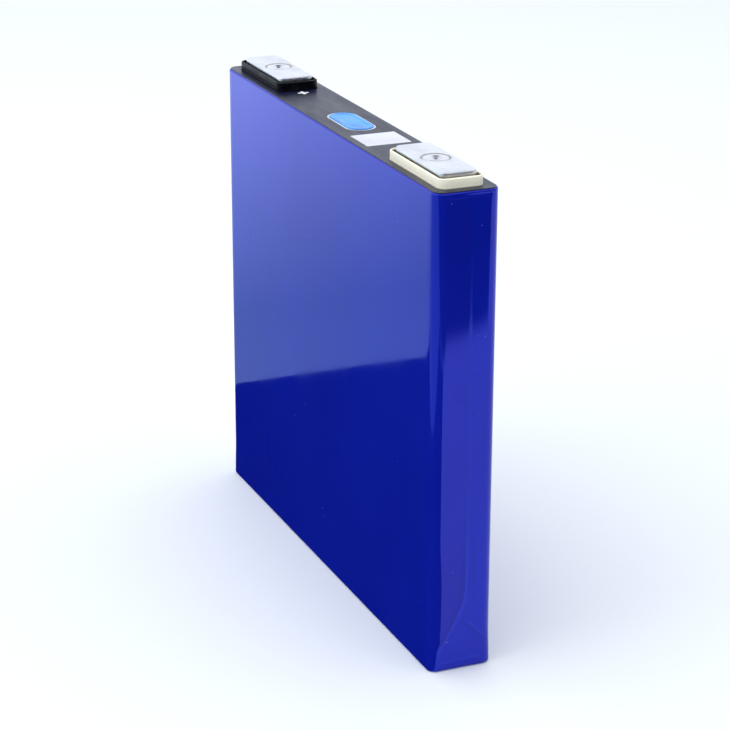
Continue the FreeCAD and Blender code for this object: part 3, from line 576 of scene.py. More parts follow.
def sheet_film(name, colour, rough, wrinkle, depth, stretch):
    """Thin plastic film or tape: stretched wrinkles, small bubbles, gloss change."""
    look = Look(name)
    folds = look.noise(scale=wrinkle, detail=3, distortion=0.5, stretch=stretch)
    bubbles = look.ramp(look.cells(scale=520), over=(0.30, 0.08))
    base = look.mix(look.ramp(folds, over=(0.3, 0.75)), colour, scaled_colour(colour, 0.86))
    normal = look.bumps((folds, 0.4, depth), (bubbles, 0.12, depth * 0.5))
    look.set(Base_Color=base, Roughness=look.ramp(folds, over=(0.3, 0.7), to=rough), IOR=1.5,
             Normal=normal)


# name, colour, roughness range, streak stretch, streak scale, bump depth, shade factor
METALS = (
    ("vent_metal", (0.82, 0.83, 0.86), (0.22, 0.34), (1, 1, 1), 1400, 0.000006, 0.9),
    ("petal_metal", (0.74, 0.75, 0.78), (0.24, 0.36), (0.2, 1, 1), 1800, 0.000005, 0.9),
    ("can_aluminium", (0.76, 0.77, 0.79), (0.30, 0.42), (1, 1, 0.04), 900, 0.00001, 0.88),
    ("lid_aluminium", (0.74, 0.75, 0.77), (0.30, 0.44), (0.08, 1, 1), 1100, 0.00001, 0.88),
    ("cap_metal", (0.80, 0.81, 0.82), (0.26, 0.36), (1, 0.2, 1), 1500, 0.000006, 0.9),
    ("copper", (0.83, 0.42, 0.26), (0.26, 0.40), (0.15, 1, 1), 1300, 0.000008, 0.82),
    ("collector_aluminium", (0.80, 0.80, 0.82), (0.28, 0.40), (0.15, 1, 1), 1300, 0.000008, 0.88),
    ("copper_foil", (0.80, 0.40, 0.25), (0.22, 0.38), (1, 1, 0.10), 2600, 0.00002, 0.80),
    ("aluminium_foil", (0.82, 0.82, 0.84), (0.22, 0.38), (1, 1, 0.10), 2600, 0.00002, 0.86),
)
# name, sRGB colour, roughness range, grain scale, bump depth, shade factor,
# subsurface weight, IOR, specular level
PLASTICS = (
    ("cream_plastic", (246, 241, 221), (0.34, 0.46), 2600, 0.00002, 0.93, 0.12, 1.5, 0.5),
    # painted shade for the deep part of a tray's pocket
    ("cream_shade", (132, 118, 92), (0.45, 0.6), 2600, 0.00002, 0.85, 0.0, 1.5, 0.5),
    ("black_plastic", (6, 6, 14), (0.24, 0.36), 3000, 0.00001, 0.8, 0.0, 1.40, 0.13),
    ("seal_rubber", (28, 28, 31), (0.55, 0.72), 3800, 0.00003, 0.8, 0.0, 1.5, 0.5),
    ("lower_plastic", (34, 34, 38), (0.38, 0.52), 2200, 0.00003, 0.85, 0.0, 1.5, 0.5),
    ("spacer_plastic", (205, 208, 206), (0.36, 0.5), 2000, 0.00003, 0.9, 0.1, 1.5, 0.5),
)
# name, sRGB colour, roughness range, wrinkle scale, bump depth, wrinkle stretch
FILMS = (
    ("green_tape", (32, 132, 74), (0.16, 0.30), 90, 0.00005, (1, 1, 0.4)),
    ("separator_film", (228, 228, 222), (0.42, 0.6), 40, 0.0001, (1, 1, 0.2)),
    ("bag_film", (196, 202, 204), (0.12, 0.26), 60, 0.00012, (1, 1, 0.4)),
    ("clear_sheet", (188, 196, 200), (0.20, 0.34), 70, 0.00005, (1, 1, 1)),
)

for make_material in (blue_film, black_patch, white_ink, pad_metal, post_metal,
                      vent_film_blue, silver_label):
    make_material()
for row in METALS:
    metal(*row)
for name, colour, *rest in PLASTICS:
    plastic(name, srgb(*colour), *rest)
for name, colour, *rest in FILMS:
    sheet_film(name, srgb(*colour), *rest)


# ---------------------------------------------------------------------------
# outer wrap: a folded bag of glossy blue film
# ---------------------------------------------------------------------------
WRAP_STEPS = (84, 80, 10)
WRAP_CORNER = 3.0
LIP_TURN = 0.45        # radius where the film turns over the lid's edge
LIP_INSET = 1.2
LIP_EDGE_INSET = 2.2
FOOT_RADIUS = 0.7
INNER_FOOT_RADIUS = 1.2
BASE_INSET = 2.6       # edge of the underside's grid
INNER_BASE = 0.30
# start, stop and step of the heights of the rings down the sides
WRAP_HEIGHTS = (
    (127.65, 126.0, -0.1),
    (126.0, 125.1, -0.3),
    (125.0, 38.0, -1.5),
    (37.4, 24.0, -0.6),
    (23.7, FOOT_RADIUS + 0.05, -0.3),
)


def flap_edge_y(z, side):
    """Free edge of the film flap on a narrow face: upright, then cut away low down."""
    if side > 0:
        t = 19.0 - z
        return 1.0 - 0.545 * 0.5 * (t + np.sqrt(t * t + 6.0))
    return 1.2 - 7.0 * (1 - smooth(8.0, 26.0, z)) ** 1.5


def above_crease(y, z):
    """Signed height above the crease that slants down from the flap's bend towards +y."""
    return (z - 14.0) + 1.05 * (y - 0.8)


def crease_band(z):
    return band(z, 5, 9, 12.5, 15)


def foot_tuck(y, z):
    """1 inside the low turned-up strip with slanted ends at the foot."""
    return (smooth(0.4, -0.4, z - (2.6 + 0.05 * y))
            * smooth(-0.4, 0.4, (y + 6.6) - 0.5 * z)
            * smooth(-0.4, 0.4, (6.4 - y) - 0.4 * z))


def broad_relief(x, z):
    """Faint ripple of a broad face, still near its borders."""
    quiet = smooth(0, 14, 71.0 - np.abs(x)) * smooth(0, 10, z - 1.0) * smooth(0, 8, 127.0 - z)
    return quiet * (0.020 * wave(x / 26.0, z / 30.0, 5) + 0.006 * wave(x / 7.0, z / 11.0, 6))


def narrow_relief(side, y, z):
    """How far the film stands proud of a narrow face; y is mirrored on the -X side."""
    past_edge = y - flap_edge_y(z, side)
    low = 1 - smooth(24, 38, z)
    # ripples
    out = 0.050 * wave(y / 4.2, z / 26.0, 11 + side) + 0.016 * wave(y / 1.9, z / 40.0, 21 + side)
    out = out + 0.035 * wave(y / 5.5, z / 7.0, 41 + side) * smooth(24, 40, z)
    # the flap that laps over the other: crisp near the foot, pressed flat above
    out = out + (0.035 + 0.11 * low) * smooth(0.6, -0.6, past_edge)
    # loose film beside the flap's edge, and a softer pull line inside it
    out = out + 0.09 * hump(past_edge - 1.1, 0.6) * band(z, 5, 12, 22, 34)
    out = out - 0.06 * hump(past_edge + 1.6, 0.6) * band(z, 7, 13, 20, 30)
    out = out + 0.13 * foot_tuck(y, z)
    out = out + 0.10 * hump(above_crease(y, z), 0.9) * crease_band(z)
    # step back above the ridge where the film is turned over the lid's edge
    ridge = 126.85 + 0.16 * np.sin(y * 0.8 + 0.6 * side) + 0.05 * np.sin(y * 2.1)
    out = out - 0.07 * smooth(-0.25, 0.25, z - ridge)
    borders = smooth(0, 1.6, WRAP_HALF_Y - 0.7 - np.abs(y))
    return out * borders * smooth(0.5, 1.3, z) * smooth(0, 0.5, 127.75 - z)


def fold_tone_and_painted_light(side, y, z):
    """Colour of a narrow face's folds: doubled film, with painted highlights on the ridges and
    painted shade in the valleys.
    """
    past_edge = y - flap_edge_y(z, side)
    low = 1 - smooth(26, 46, z)
    double = smooth(0.5, -0.5, past_edge) * (0.35 + 0.65 * low) * (1 - 0.8 * foot_tuck(y, z))
    # painted highlights along the flap's edge, along the top of the foot tuck and above the crease
    light = hump(past_edge - 0.25, 0.30) * (0.20 + 0.80 * low) * (1 - smooth(60, 100, z))
    tuck_top = hump(z - (2.7 + 0.05 * y), 0.22)
    light = light + 0.7 * tuck_top * smooth(-5.6, -4.6, y) * smooth(5.4, 4.4, y)
    over_crease = above_crease(y, z)
    light = light + 0.6 * hump(over_crease - 0.4, 0.6) * crease_band(z)
    # painted shade below the crease, under the flap's edge and beside it
    dark = 0.6 * hump(over_crease + 1.0, 0.9) * crease_band(z)
    dark = dark + 0.7 * hump(past_edge + 0.75, 0.4) * low
    dark = dark + 0.5 * hump(past_edge - 2.0, 0.6) * low * smooth(6, 12, z)
    keep = smooth(WRAP_HALF_Y - 0.9, WRAP_HALF_Y - 3.2, np.abs(y)) * smooth(0.5, 1.2, z)
    return double * keep, np.clip(light, 0, 1) * keep, np.clip(dark, 0, 1) * keep


def underside(x, y):
    """Folds under the cell: two long flaps that lap, over slanted end tucks."""
    slant = WRAP_HALF_X - abs(x) - (WRAP_HALF_Y - abs(y)) * 0.95 - 0.2
    lap = float(smooth(2.4, 2.0, y)) * 0.08 + float(smooth(-3.2, -2.8, y)) * 0.08
    flap = float(smooth(-0.25, 0.25, slant))
    border = min(WRAP_HALF_X - BASE_INSET - abs(x), WRAP_HALF_Y - BASE_INSET - abs(y))
    return (0.16 - lap * flap - (1 - flap) * 0.10) * float(smooth(0.0, 0.7, border))


def make_wrap():
    mesh = Mesh()
    fold_and_painted_light_tones = {}
    base = rounded_rect(WRAP_HALF_X, WRAP_HALF_Y, WRAP_CORNER, WRAP_STEPS)
    outward = base - rounded_rect(WRAP_HALF_X - 1, WRAP_HALF_Y - 1, WRAP_CORNER - 1, WRAP_STEPS)
    outward /= np.linalg.norm(outward, axis=1)[:, None]
    outward_x = np.abs(outward[:, 0])
    outward_y = np.abs(outward[:, 1])
    narrow = outward_x > 0.999
    broad = outward_y > 0.999
    pleat = np.where(narrow | broad, 0.0, np.sin(np.arctan2(outward_y, outward_x) * 22.0))
    bulge = 0.20 * outward_x ** 2 * (1 - (base[:, 1] / WRAP_HALF_Y) ** 2)

    def ring(inset, z, relief=False, pleats=0.0, outer=True):
        corner = WRAP_CORNER
        push = np.zeros(len(base))
        if outer:
            # the folded film fills its corners out towards the foot
            corner -= 0.7 * (1 - float(smooth(0.0, 12.0, z)))
            push = bulge * float(smooth(1.0, 9.0, z)) * float(smooth(0.6, 6.0, LIP_TOP - z))
        flat = rounded_rect(WRAP_HALF_X - inset, WRAP_HALF_Y - inset, max(corner - inset, 0.3),
                            WRAP_STEPS)
        if relief:
            push[broad] += broad_relief(base[broad, 0], z)
            start = len(mesh.points)
            for side in (1, -1):
                face = narrow & (base[:, 0] * side > 0)
                push[face] += narrow_relief(side, base[face, 1] * side, z)
                for k in np.nonzero(face)[0]:
                    fold_and_painted_light_tones[start + k] = fold_tone_and_painted_light(side, base[k, 1] * side, z)
        push = push + pleats * pleat
        return mesh.loop(flat + outward * push[:, None], z)

    # outer skin, from the lip's inner edge down to the underside
    rings = [ring(LIP_EDGE_INSET, LID_TOP), ring(LIP_EDGE_INSET, LIP_TOP), ring(LIP_INSET, LIP_TOP)]
    for inset, z in arc_section(LIP_TURN, LIP_TOP - LIP_TURN, LIP_TURN, UP, OUTWARD, 7):
        gather = math.sin(math.pi * min(1.0, (LIP_TOP - z) / LIP_TURN))
        rings.append(ring(inset, z, pleats=-0.03 * gather))
    for start, stop, step in WRAP_HEIGHTS:
        rings += [ring(0, z, relief=True) for z in np.arange(start, stop, step)]
    for inset, z in arc_section(FOOT_RADIUS, FOOT_RADIUS, FOOT_RADIUS, OUTWARD, DOWN, 8):
        rings.append(ring(inset, z))
    rings += [ring(2.0, 0.0), ring(BASE_INSET, 0.0)]
    mesh.loft(rings)
    mesh.grid_fill(rings[-1], WRAP_STEPS, underside)

    # inner skin
    inner = [rings[0], ring(LIP_INSET, LID_TOP, outer=False)]
    section = arc_section(LIP_TURN, LIP_TOP - LIP_TURN, LIP_TURN - FILM_THICKNESS, UP, OUTWARD, 5)
    section += [(FILM_THICKNESS, z) for z in (110.0, 80.0, 50.0, 20.0, INNER_FOOT_RADIUS)]
    section += arc_section(INNER_FOOT_RADIUS, INNER_FOOT_RADIUS + 0.15,
                           INNER_FOOT_RADIUS - FILM_THICKNESS, OUTWARD, DOWN, 6)[1:]
    section.append((BASE_INSET, INNER_BASE))
    inner += [ring(inset, z, outer=False) for inset, z in section]
    mesh.loft(inner)
    mesh.grid_fill(inner[-1], WRAP_STEPS, lambda x, y: INNER_BASE)

    obj = mesh.build("wrap_film", sharp_angle=50)
    values = np.zeros((len(mesh.points), 4), np.float32)
    values[:, 3] = 1
    for k, tone in fold_and_painted_light_tones.items():
        values[k, :3] = tone
    # the fold attribute holds the doubled film's tone and the painted highlights and painted shade
    # of the folds
    layer = obj.data.color_attributes.new("fold", "FLOAT_COLOR", "POINT")
    layer.data.foreach_set("color", values.ravel())
    finish(obj, ["blue_film"], "cell", "outer_wrap")


make_wrap()


# ---------------------------------------------------------------------------
# cover patch: thin black sheet with windows, draped over the film's lip
# ---------------------------------------------------------------------------
PATCH_CORNER = 2.6
PATCH_EDGE = 0.06                # width of the rounded edge
PATCH_CREASES = (1.87, 2.35)     # insets of two mesh lines where the sheet steps down
MARK_THICK = 0.45                # half thickness of a printed stroke
MINUS_REACH = 1.5
PLUS_REACH = 1.6
# x, corners, and half sizes of the bars of each printed mark
MARKS = (
    (36.1,
     [(-MINUS_REACH, -MARK_THICK), (MINUS_REACH, -MARK_THICK),
      (MINUS_REACH, MARK_THICK), (-MINUS_REACH, MARK_THICK)],
     [(MINUS_REACH, MARK_THICK)]),
    (-35.2,
     [(MARK_THICK, -PLUS_REACH), (MARK_THICK, -MARK_THICK), (PLUS_REACH, -MARK_THICK),
      (PLUS_REACH, MARK_THICK), (MARK_THICK, MARK_THICK), (MARK_THICK, PLUS_REACH),
      (-MARK_THICK, PLUS_REACH), (-MARK_THICK, MARK_THICK), (-PLUS_REACH, MARK_THICK),
      (-PLUS_REACH, -MARK_THICK), (-MARK_THICK, -MARK_THICK), (-MARK_THICK, -PLUS_REACH)],
     [(MARK_THICK, PLUS_REACH), (PLUS_REACH, MARK_THICK)]),
)


def rect_distance(points, centre_x, half_x, half_y, radius):
    """Signed distance to a rounded rectangle, negative inside."""
    dx = np.abs(points[:, 0] - centre_x) - (half_x - radius)
    dy = np.abs(points[:, 1]) - (half_y - radius)
    outside = np.hypot(np.maximum(dx, 0), np.maximum(dy, 0))
    return outside + np.minimum(np.maximum(dx, dy), 0) - radius


def patch_distance(points, inset=0.0):
    return rect_distance(points, 0, PATCH_HALF_X - inset, PATCH_HALF_Y - inset,
                         PATCH_CORNER - inset)


def patch_windows():
    """Middle in X, half sizes and corner radius of each window."""
    windows = []
    for node in ("negative_insulator", "positive_insulator"):
        centre_x, half_x, half_y, _, _ = measures(node)
        windows.append((centre_x, half_x + 0.1, half_y + 0.1, 2.5))
    vent_hi = corners_mm("vent_ring")[1]
    windows.append((0.0, vent_hi[0] + 0.1, vent_hi[1] + 0.1, vent_hi[1] + 0.099))
    centre_x, half_x, half_y, _, _ = measures("code_label")
    windows.append((centre_x, half_x + 0.06, half_y + 0.06, 0.35))
    return windows


def window_outline(window, grow):
    centre_x, half_x, half_y, radius = window
    if radius > half_y - 0.01:
        return slot_outline(2 * (half_x + grow), 2 * (half_y + grow), (26, 24), centre_x)
    steps = (max(6, int(2 * half_x)), max(6, int(2 * half_y)), 8 if radius > 1 else 4)
    return rounded_rect(half_x + grow, half_y + grow, radius + grow, steps, centre_x)


def softened(corners):
    """Cuts each corner of a printed mark into a small curve."""
    soft = []
    count = len(corners)
    for i in range(count):
        before, corner, after = (np.array(corners[(i + j) % count], float) for j in (-1, 0, 1))
        back, ahead = before - corner, after - corner
        back /= np.linalg.norm(back)
        ahead /= np.linalg.norm(ahead)
        soft += [corner + back * 0.12, corner + (back + ahead) * 0.035, corner + ahead * 0.12]
    return soft


def patch_grid(windows, marks):
    """Staggered filling points, clear of every outline."""
    grid_x, grid_y = np.meshgrid(np.arange(-PATCH_HALF_X + 0.5, PATCH_HALF_X, 0.95),
                                 np.arange(-PATCH_HALF_Y + 0.45, PATCH_HALF_Y, 0.93))
    grid_x = grid_x + 0.475 * (np.arange(grid_x.shape[0]) % 2)[:, None]
    grid = np.stack([grid_x.ravel(), grid_y.ravel()], -1)
    keep = patch_distance(grid) < -0.4
    for inset in PATCH_CREASES:
        keep &= np.abs(patch_distance(grid, inset)) > 0.22
    for window in windows:
        keep &= rect_distance(grid, *window) > 0.35
    for mark in marks:
        low, high = np.min(mark, axis=0) - 0.25, np.max(mark, axis=0) + 0.25
        keep &= ~((grid > low) & (grid < high)).all(axis=1)
    return grid[keep]


def make_patch():
    windows = patch_windows()
    marks = [[(mark_x + u, v) for u, v in corners] for mark_x, corners, _ in MARKS]
    outlines = [
        rounded_rect(PATCH_HALF_X - inset, PATCH_HALF_Y - inset, max(PATCH_CORNER - inset, 0.1),
                     (120, 14, 10))
        for inset in (0.0, PATCH_EDGE, *PATCH_CREASES)
    ]
    for window in windows:
        outlines += [window_outline(window, 0.0), window_outline(window, PATCH_EDGE)]
    outlines += [softened(mark) for mark in marks]
    points, edges = [], []
    for outline in outlines:
        start, count = len(points), len(outline)
        points.extend([tuple(p) for p in outline])
        edges.extend([(start + i, start + (i + 1) % count) for i in range(count)])
    points.extend([tuple(p) for p in patch_grid(windows, marks)])

    result = delaunay_2d_cdt([Vector(p) for p in points], edges, [], 0, 1e-4)
    flat = np.array([tuple(v) for v in result[0]])
    triangles = np.array([list(f) for f in result[2]])
    middles = flat[triangles].mean(1)
    inside = patch_distance(middles) < 0
    for window in windows:
        inside &= rect_distance(middles, *window) > 0
    triangles, middles = triangles[inside], middles[inside]
    printed = np.zeros(len(triangles), int)
    for mark_x, _, bars in MARKS:
        u, v = np.abs(middles[:, 0] - mark_x), np.abs(middles[:, 1])
        for reach_x, reach_y in bars:
            printed[(u < reach_x) & (v < reach_y)] = 1

    # heights
    from_rim = -patch_distance(flat)
    from_window = np.full(len(flat), 9.0)
    for window in windows:
        from_window = np.minimum(from_window, rect_distance(flat, *window))
    from_edge = np.minimum(from_rim, from_window)
    top = PATCH_TOP - 0.05 * (1 - np.clip(from_edge / PATCH_EDGE, 0, 1)) ** 2
    top = top - 0.045 * smooth(1.5, 2.6, from_rim)
    top = top + 0.010 * wave(flat[:, 0] / 9.0, flat[:, 1] / 5.0, 33) * smooth(0.3, 2.0, from_edge)
    bottom = np.where(from_rim < 1.9, LIP_TOP + 0.002, LID_TOP + 0.012)

    mesh = Mesh()
    upper = mesh.add(np.column_stack([flat, top]))
    lower = mesh.add(np.column_stack([flat, bottom]))
    edge_uses = {}
    for triangle, slot in zip(triangles, printed):
        mesh.face([upper[i] for i in triangle], int(slot))
        mesh.face([lower[i] for i in triangle[::-1]])
        for i in range(3):
            edge = (int(triangle[i]), int(triangle[(i + 1) % 3]))
            edge_uses.setdefault(tuple(sorted(edge)), []).append(edge)
    # walls along the edges that belong to one triangle only
    for uses in edge_uses.values():
        if len(uses) == 1:
            i, j = uses[0]
            mesh.face([upper[j], upper[i], lower[i], lower[j]])
    # drop unused points
    used = sorted({i for face in mesh.faces for i in face})
    new_index = {old: new for new, old in enumerate(used)}
    mesh.points = [mesh.points[i] for i in used]
    mesh.faces = [[new_index[i] for i in face] for face in mesh.faces]
    obj = mesh.build("cover_patch", sharp_angle=30)
    finish(obj, ["black_patch", "white_ink"], "cell", "top_patch")


make_patch()


# ---------------------------------------------------------------------------
# blank label in the small rectangular window
# ---------------------------------------------------------------------------
def make_label():
    centre_x, half_x, half_y, bottom, top = measures("code_label")
    steps = (22, 24, 4)
    mesh = Mesh()

    def ring(inset, z):
        return mesh.loop(rounded_rect(half_x - inset, half_y - inset, max(0.3 - inset, 0.06),
                                      steps, centre_x), z)

    def surface(x, y):
        """Slightly curled borders and a faint ripple."""
        curl_x = 0.018 * max(0.0, abs((x - centre_x) / half_x) - 0.7) ** 2 / 0.09
        curl_y = 0.012 * max(0.0, abs(y / half_y) - 0.75) ** 2 / 0.0625
        return top + (curl_x + curl_y) + 0.006 * float(wave(x / 2.6, y / 2.2, 71))

    rings = [ring(0.05, bottom + 0.01), ring(0.0, bottom + 0.05), ring(0.0, top - 0.05),
             ring(0.02, top - 0.01), ring(0.07, top + 0.012)]
    mesh.loft(rings)
    mesh.grid_fill(rings[-1], steps, surface)
    mesh.grid_fill(rings[0], steps, lambda x, y: bottom + 0.01)
    finish(mesh.build("label_blank", sharp_angle=40), ["silver_label"], "cell", "code_label")


make_label()


# ---------------------------------------------------------------------------
# terminals: pad, rivet post and tray
# ---------------------------------------------------------------------------
PAD_STEPS = (26, 26, 8)
PAD_CORNER = 1.9
PAD_BORE = 3.5
PAD_FILLET = 0.35
PAD_LOW_EDGE = 0.12
# radius, height from the pad's top, ripple of the beaded rim round the bore
PAD_RIM = (
    (4.30, 0.0, 0.0), (4.12, 0.012, 0.004), (3.95, 0.020, 0.007), (3.82, 0.004, 0.009),
    (3.74, -0.06, 0.010), (3.62, -0.20, 0.008), (3.52, -0.30, 0.004), (3.5, -0.45, 0.0),
)

POST_STEPS = 96
# radius and height of the post's section, in three runs from the top down
POST_HEAD = (  # heights from the post's top
    (0.12, -0.86), (0.30, -0.83), (0.55, -0.74), (0.9, -0.58), (1.25, -0.40), (1.6, -0.21),
    (1.85, -0.085), (1.98, -0.035), (2.12, -0.004), (2.25, 0.012), (2.45, 0.012), (2.6, 0.002),
    (2.9, -0.004), (3.10, -0.012), (3.22, -0.04), (3.32, -0.10), (3.42, -0.20), (3.47, -0.32),
    (3.47, -1.5),
)
POST_FLANGE = (  # heights from the flange's top
    (3.47, 0.25), (3.55, 0.08), (3.75, 0.0), (5.45, 0.0), (5.56, -0.04), (5.6, -0.15),
    (5.6, -1.05), (5.56, -1.16), (5.45, -1.2), (2.2, -1.2), (2.0, -1.22), (1.95, -1.3),
)
POST_TAIL = ((1.95, 0.12), (1.85, 0.02), (1.7, 0.0), (0.4, 0.0))  # heights from its bottom

TRAY_STEPS = (26, 26, 10)
TRAY_CORNER = 2.4
TRAY_DRAFT = 0.06
TRAY_FLOOR = 0.8                 # thickness of the floor
TRAY_BORE = 3.55
POCKET_HALF_X, POCKET_HALF_Y, POCKET_CORNER = 15.4, 5.6, 1.3


def make_pad(word):
    node = word + "_terminal_pad"
    centre_x, half_x, half_y, bottom, top = measures(node)
    mesh = Mesh()
    seed = 91 if centre_x > 0 else 89

    def rect(inset):
        return rounded_rect(half_x - inset, half_y - inset, PAD_CORNER - inset, PAD_STEPS, centre_x)

    def round_ring(radius, z, ripple=0.0):
        flat = matched_circle(1.0, PAD_STEPS)
        bead = np.sin(np.arange(len(flat)) * TAU / 4.0)
        flat = flat * (radius + ripple * bead[:, None] * 0.6)
        flat[:, 0] += centre_x
        return mesh.loop(flat, z + ripple * bead)

    def between(share, radius, inset, z):
        """Ring part of the way from a circle to the outline, faintly rippled."""
        flat = matched_circle(radius, PAD_STEPS, centre_x) * (1 - share) + rect(inset) * share
        distance = np.hypot(flat[:, 0] - centre_x, flat[:, 1])
        ripple = wave(flat[:, 0] / 3.1, flat[:, 1] / 2.0, seed) * smooth(0, 1.5, distance - 4.0)
        return mesh.loop(flat, z + 0.006 * ripple)

    rings = [round_ring(PAD_BORE, bottom), between(0.3, PAD_BORE, 0.1, bottom)]
    section = [(0.12, bottom), (0.03, bottom + 0.03), (0.0, bottom + PAD_LOW_EDGE)]
    wall = top - bottom - PAD_LOW_EDGE - PAD_FILLET
    section += [(0.0, bottom + PAD_LOW_EDGE + wall * k / 4) for k in range(1, 4)]
    section += arc_section(PAD_FILLET, top - PAD_FILLET, PAD_FILLET, OUTWARD, UP, 7)
    rings += [mesh.loop(rect(inset), z) for inset, z in section]
    for share in (0.95, 0.88, 0.78, 0.66, 0.54, 0.42, 0.30, 0.18, 0.08):
        rings.append(between(share, 4.35, 0.36, top))
    rings += [round_ring(radius, top + rise, ripple) for radius, rise, ripple in PAD_RIM]
    rings.append(round_ring(PAD_BORE, (bottom + top) / 2))
    mesh.loft(rings, close=True)
    finish(mesh.build(word + "_pad", sharp_angle=42), ["pad_metal"], "cell", node)


def make_post(word):
    node = word + "_post"
    centre_x, _, _, bottom, top = measures(node)
    flange_top = LID_BOTTOM - 0.8
    mesh = Mesh()
    rings = []
    for level, run in ((top, POST_HEAD), (flange_top, POST_FLANGE), (bottom, POST_TAIL)):
        rings += [mesh.loop(circle(radius, POST_STEPS, centre_x), level + z) for radius, z in run]
    mesh.loft(rings)
    mesh.fan(rings[0], (centre_x, 0, top - 0.87))
    mesh.fan(rings[-1], (centre_x, 0, bottom))
    finish(mesh.build(word + "_post_rivet", sharp_angle=40), ["post_metal"], "cell", node)


def make_tray(word, materials):
    node = word + "_insulator"
    centre_x, half_x, half_y, bottom, top = measures(node)
    floor = bottom + TRAY_FLOOR
    mesh = Mesh()

    def outside(inset):
        return rounded_rect(half_x - inset, half_y - inset, TRAY_CORNER - inset, TRAY_STEPS,
                            centre_x)

    def pocket(inset):
        return rounded_rect(POCKET_HALF_X - inset, POCKET_HALF_Y - inset, POCKET_CORNER - inset,
                            TRAY_STEPS, centre_x)

    def between(share, radius, outline, z):
        round_part = matched_circle(radius, TRAY_STEPS, centre_x)
        return mesh.loop(round_part * (1 - share) + outline * share, z)

    def round_ring(radius, z):
        return mesh.loop(matched_circle(radius, TRAY_STEPS, centre_x), z)

    body = [round_ring(TRAY_BORE, bottom), round_ring(3.9, bottom)]
    body += [between(share, 3.9, outside(0.1), bottom) for share in (0.35, 0.7)]
    # a shallow moulded step low on the outside, then the drafted wall
    section = [
        (0.1, bottom), (0.02, bottom + 0.05), (0.0, bottom + 0.12), (0.0, bottom + 0.62),
        (0.015, bottom + 0.68), (0.05, bottom + 0.72), (0.055, bottom + 1.4),
        (TRAY_DRAFT, top - 0.3),
    ]
    outer_round, inner_round = 0.24, 0.12
    section += arc_section(TRAY_DRAFT + outer_round, top - outer_round, outer_round,
                           OUTWARD, UP, 6)
    body += [mesh.loop(outside(inset), z) for inset, z in section]
    section = arc_section(-inner_round, top - inner_round, inner_round, UP, INWARD, 4)
    section.append((0.0, top - 0.35))
    body += [mesh.loop(pocket(inset), z) for inset, z in section]

    # the deeper part of the pocket takes the second material, a darker cream that paints the shade
    # in the pocket
    section = [(0.0, top - 0.6), (0.02, floor + 0.5)]
    section += arc_section(0.02 + 0.2, floor + 0.2, 0.2, OUTWARD, DOWN, 4)
    deep = [body[-1]] + [mesh.loop(pocket(inset), z) for inset, z in section]
    deep += [between(share, 3.7, pocket(0.3), floor) for share in (0.85, 0.6, 0.35, 0.12, 0.0)]
    deep += [round_ring(3.6, floor - 0.01), round_ring(TRAY_BORE, floor - 0.06)]
    mesh.loft(body)
    mesh.loft(deep, slot=1)
    mesh.bridge(deep[-1], body[0], slot=1)
    finish(mesh.build(word + "_tray", sharp_angle=40), materials, "cell", node)


for word, tray_materials, tray_slot in (
    ("negative", ["cream_plastic", "cream_shade"], "cream_plastic"),
    ("positive", ["black_plastic", "black_plastic"], "black_plastic"),
):
    make_pad(word)
    make_post(word)
    make_tray(word, tray_materials)


# ---------------------------------------------------------------------------
# vent: ring, scored petal, blue film
# ---------------------------------------------------------------------------
VENT_STEPS = (22, 28)
VENT_OPENING = (17.4, 5.4)       # length and width
# inset and height from the petal's top; the groove near the edge is the score
PETAL_TOP = (
    (0.0, -0.05), (0.02, -0.01), (0.06, 0.0), (0.28, 0.0), (0.36, -0.055), (0.44, -0.055),
    (0.52, 0.0), (0.95, 0.0), (1.15, -0.04), (1.6, -0.04), (2.1, -0.035), (2.45, -0.03),
)
# inset and height from the film's bottom
FILM_TOP = (
    (0.0, 0.03), (0.02, 0.08), (0.07, 0.125), (0.16, 0.15), (0.35, 0.175), (0.60, 0.20),
    (0.85, 0.205), (1.05, 0.19), (1.25, 0.15), (1.45, 0.11), (1.7, 0.085), (2.0, 0.08),
    (2.4, 0.085), (2.9, 0.10), (3.4, 0.11), (3.75, 0.115),
)
FILM_UNDER = (
    (0.02, 0.01), (0.6, 0.01), (1.3, 0.01), (1.55, -0.03), (1.9, -0.05), (2.6, -0.045),
    (3.3, -0.03), (3.75, -0.03),
)


def inset_slot(size, inset):
    return slot_outline(size[0] - 2 * inset, size[1] - 2 * inset, VENT_STEPS)


def slot_size(node):
    lo, hi = corners_mm(node)
    return (hi[0] - lo[0], hi[1] - lo[1]), lo[2], hi[2]


def close_slot_plate(mesh, upper, lower):
    """Skins both sides of a slot-shaped plate and joins them at the rim."""
    mesh.loft(upper)
    mesh.loft(lower)
    mesh.bridge(upper[0], lower[0])
    mesh.slot_fill(upper[-1], VENT_STEPS)
    mesh.slot_fill(lower[-1], VENT_STEPS)


def make_vent_rim():
    size, bottom, top = slot_size("vent_ring")
    mesh = Mesh()
    outer = [(0.12, bottom), (0.0, bottom + 0.12), (0.0, top - 0.22)]
    outer += arc_section(0.16, top - 0.16, 0.16, OUTWARD, UP, 5)
    # a shallow channel runs round the upper face
    outer += [(0.45, top), (0.62, top - 0.03), (1.0, top - 0.03), (1.12, top), (1.45, top)]
    opening = arc_section(-0.1, top - 0.1, 0.1, UP, INWARD, 4)
    opening += [(0.0, top - 0.7), (0.0, bottom + 0.1), (-0.1, bottom)]
    rings = [mesh.loop(inset_slot(size, inset), z) for inset, z in outer]
    rings += [mesh.loop(inset_slot(VENT_OPENING, inset), z) for inset, z in opening]
    mesh.loft(rings, close=True)
    finish(mesh.build("vent_rim", sharp_angle=40), ["vent_metal"], "cell", "vent_ring")


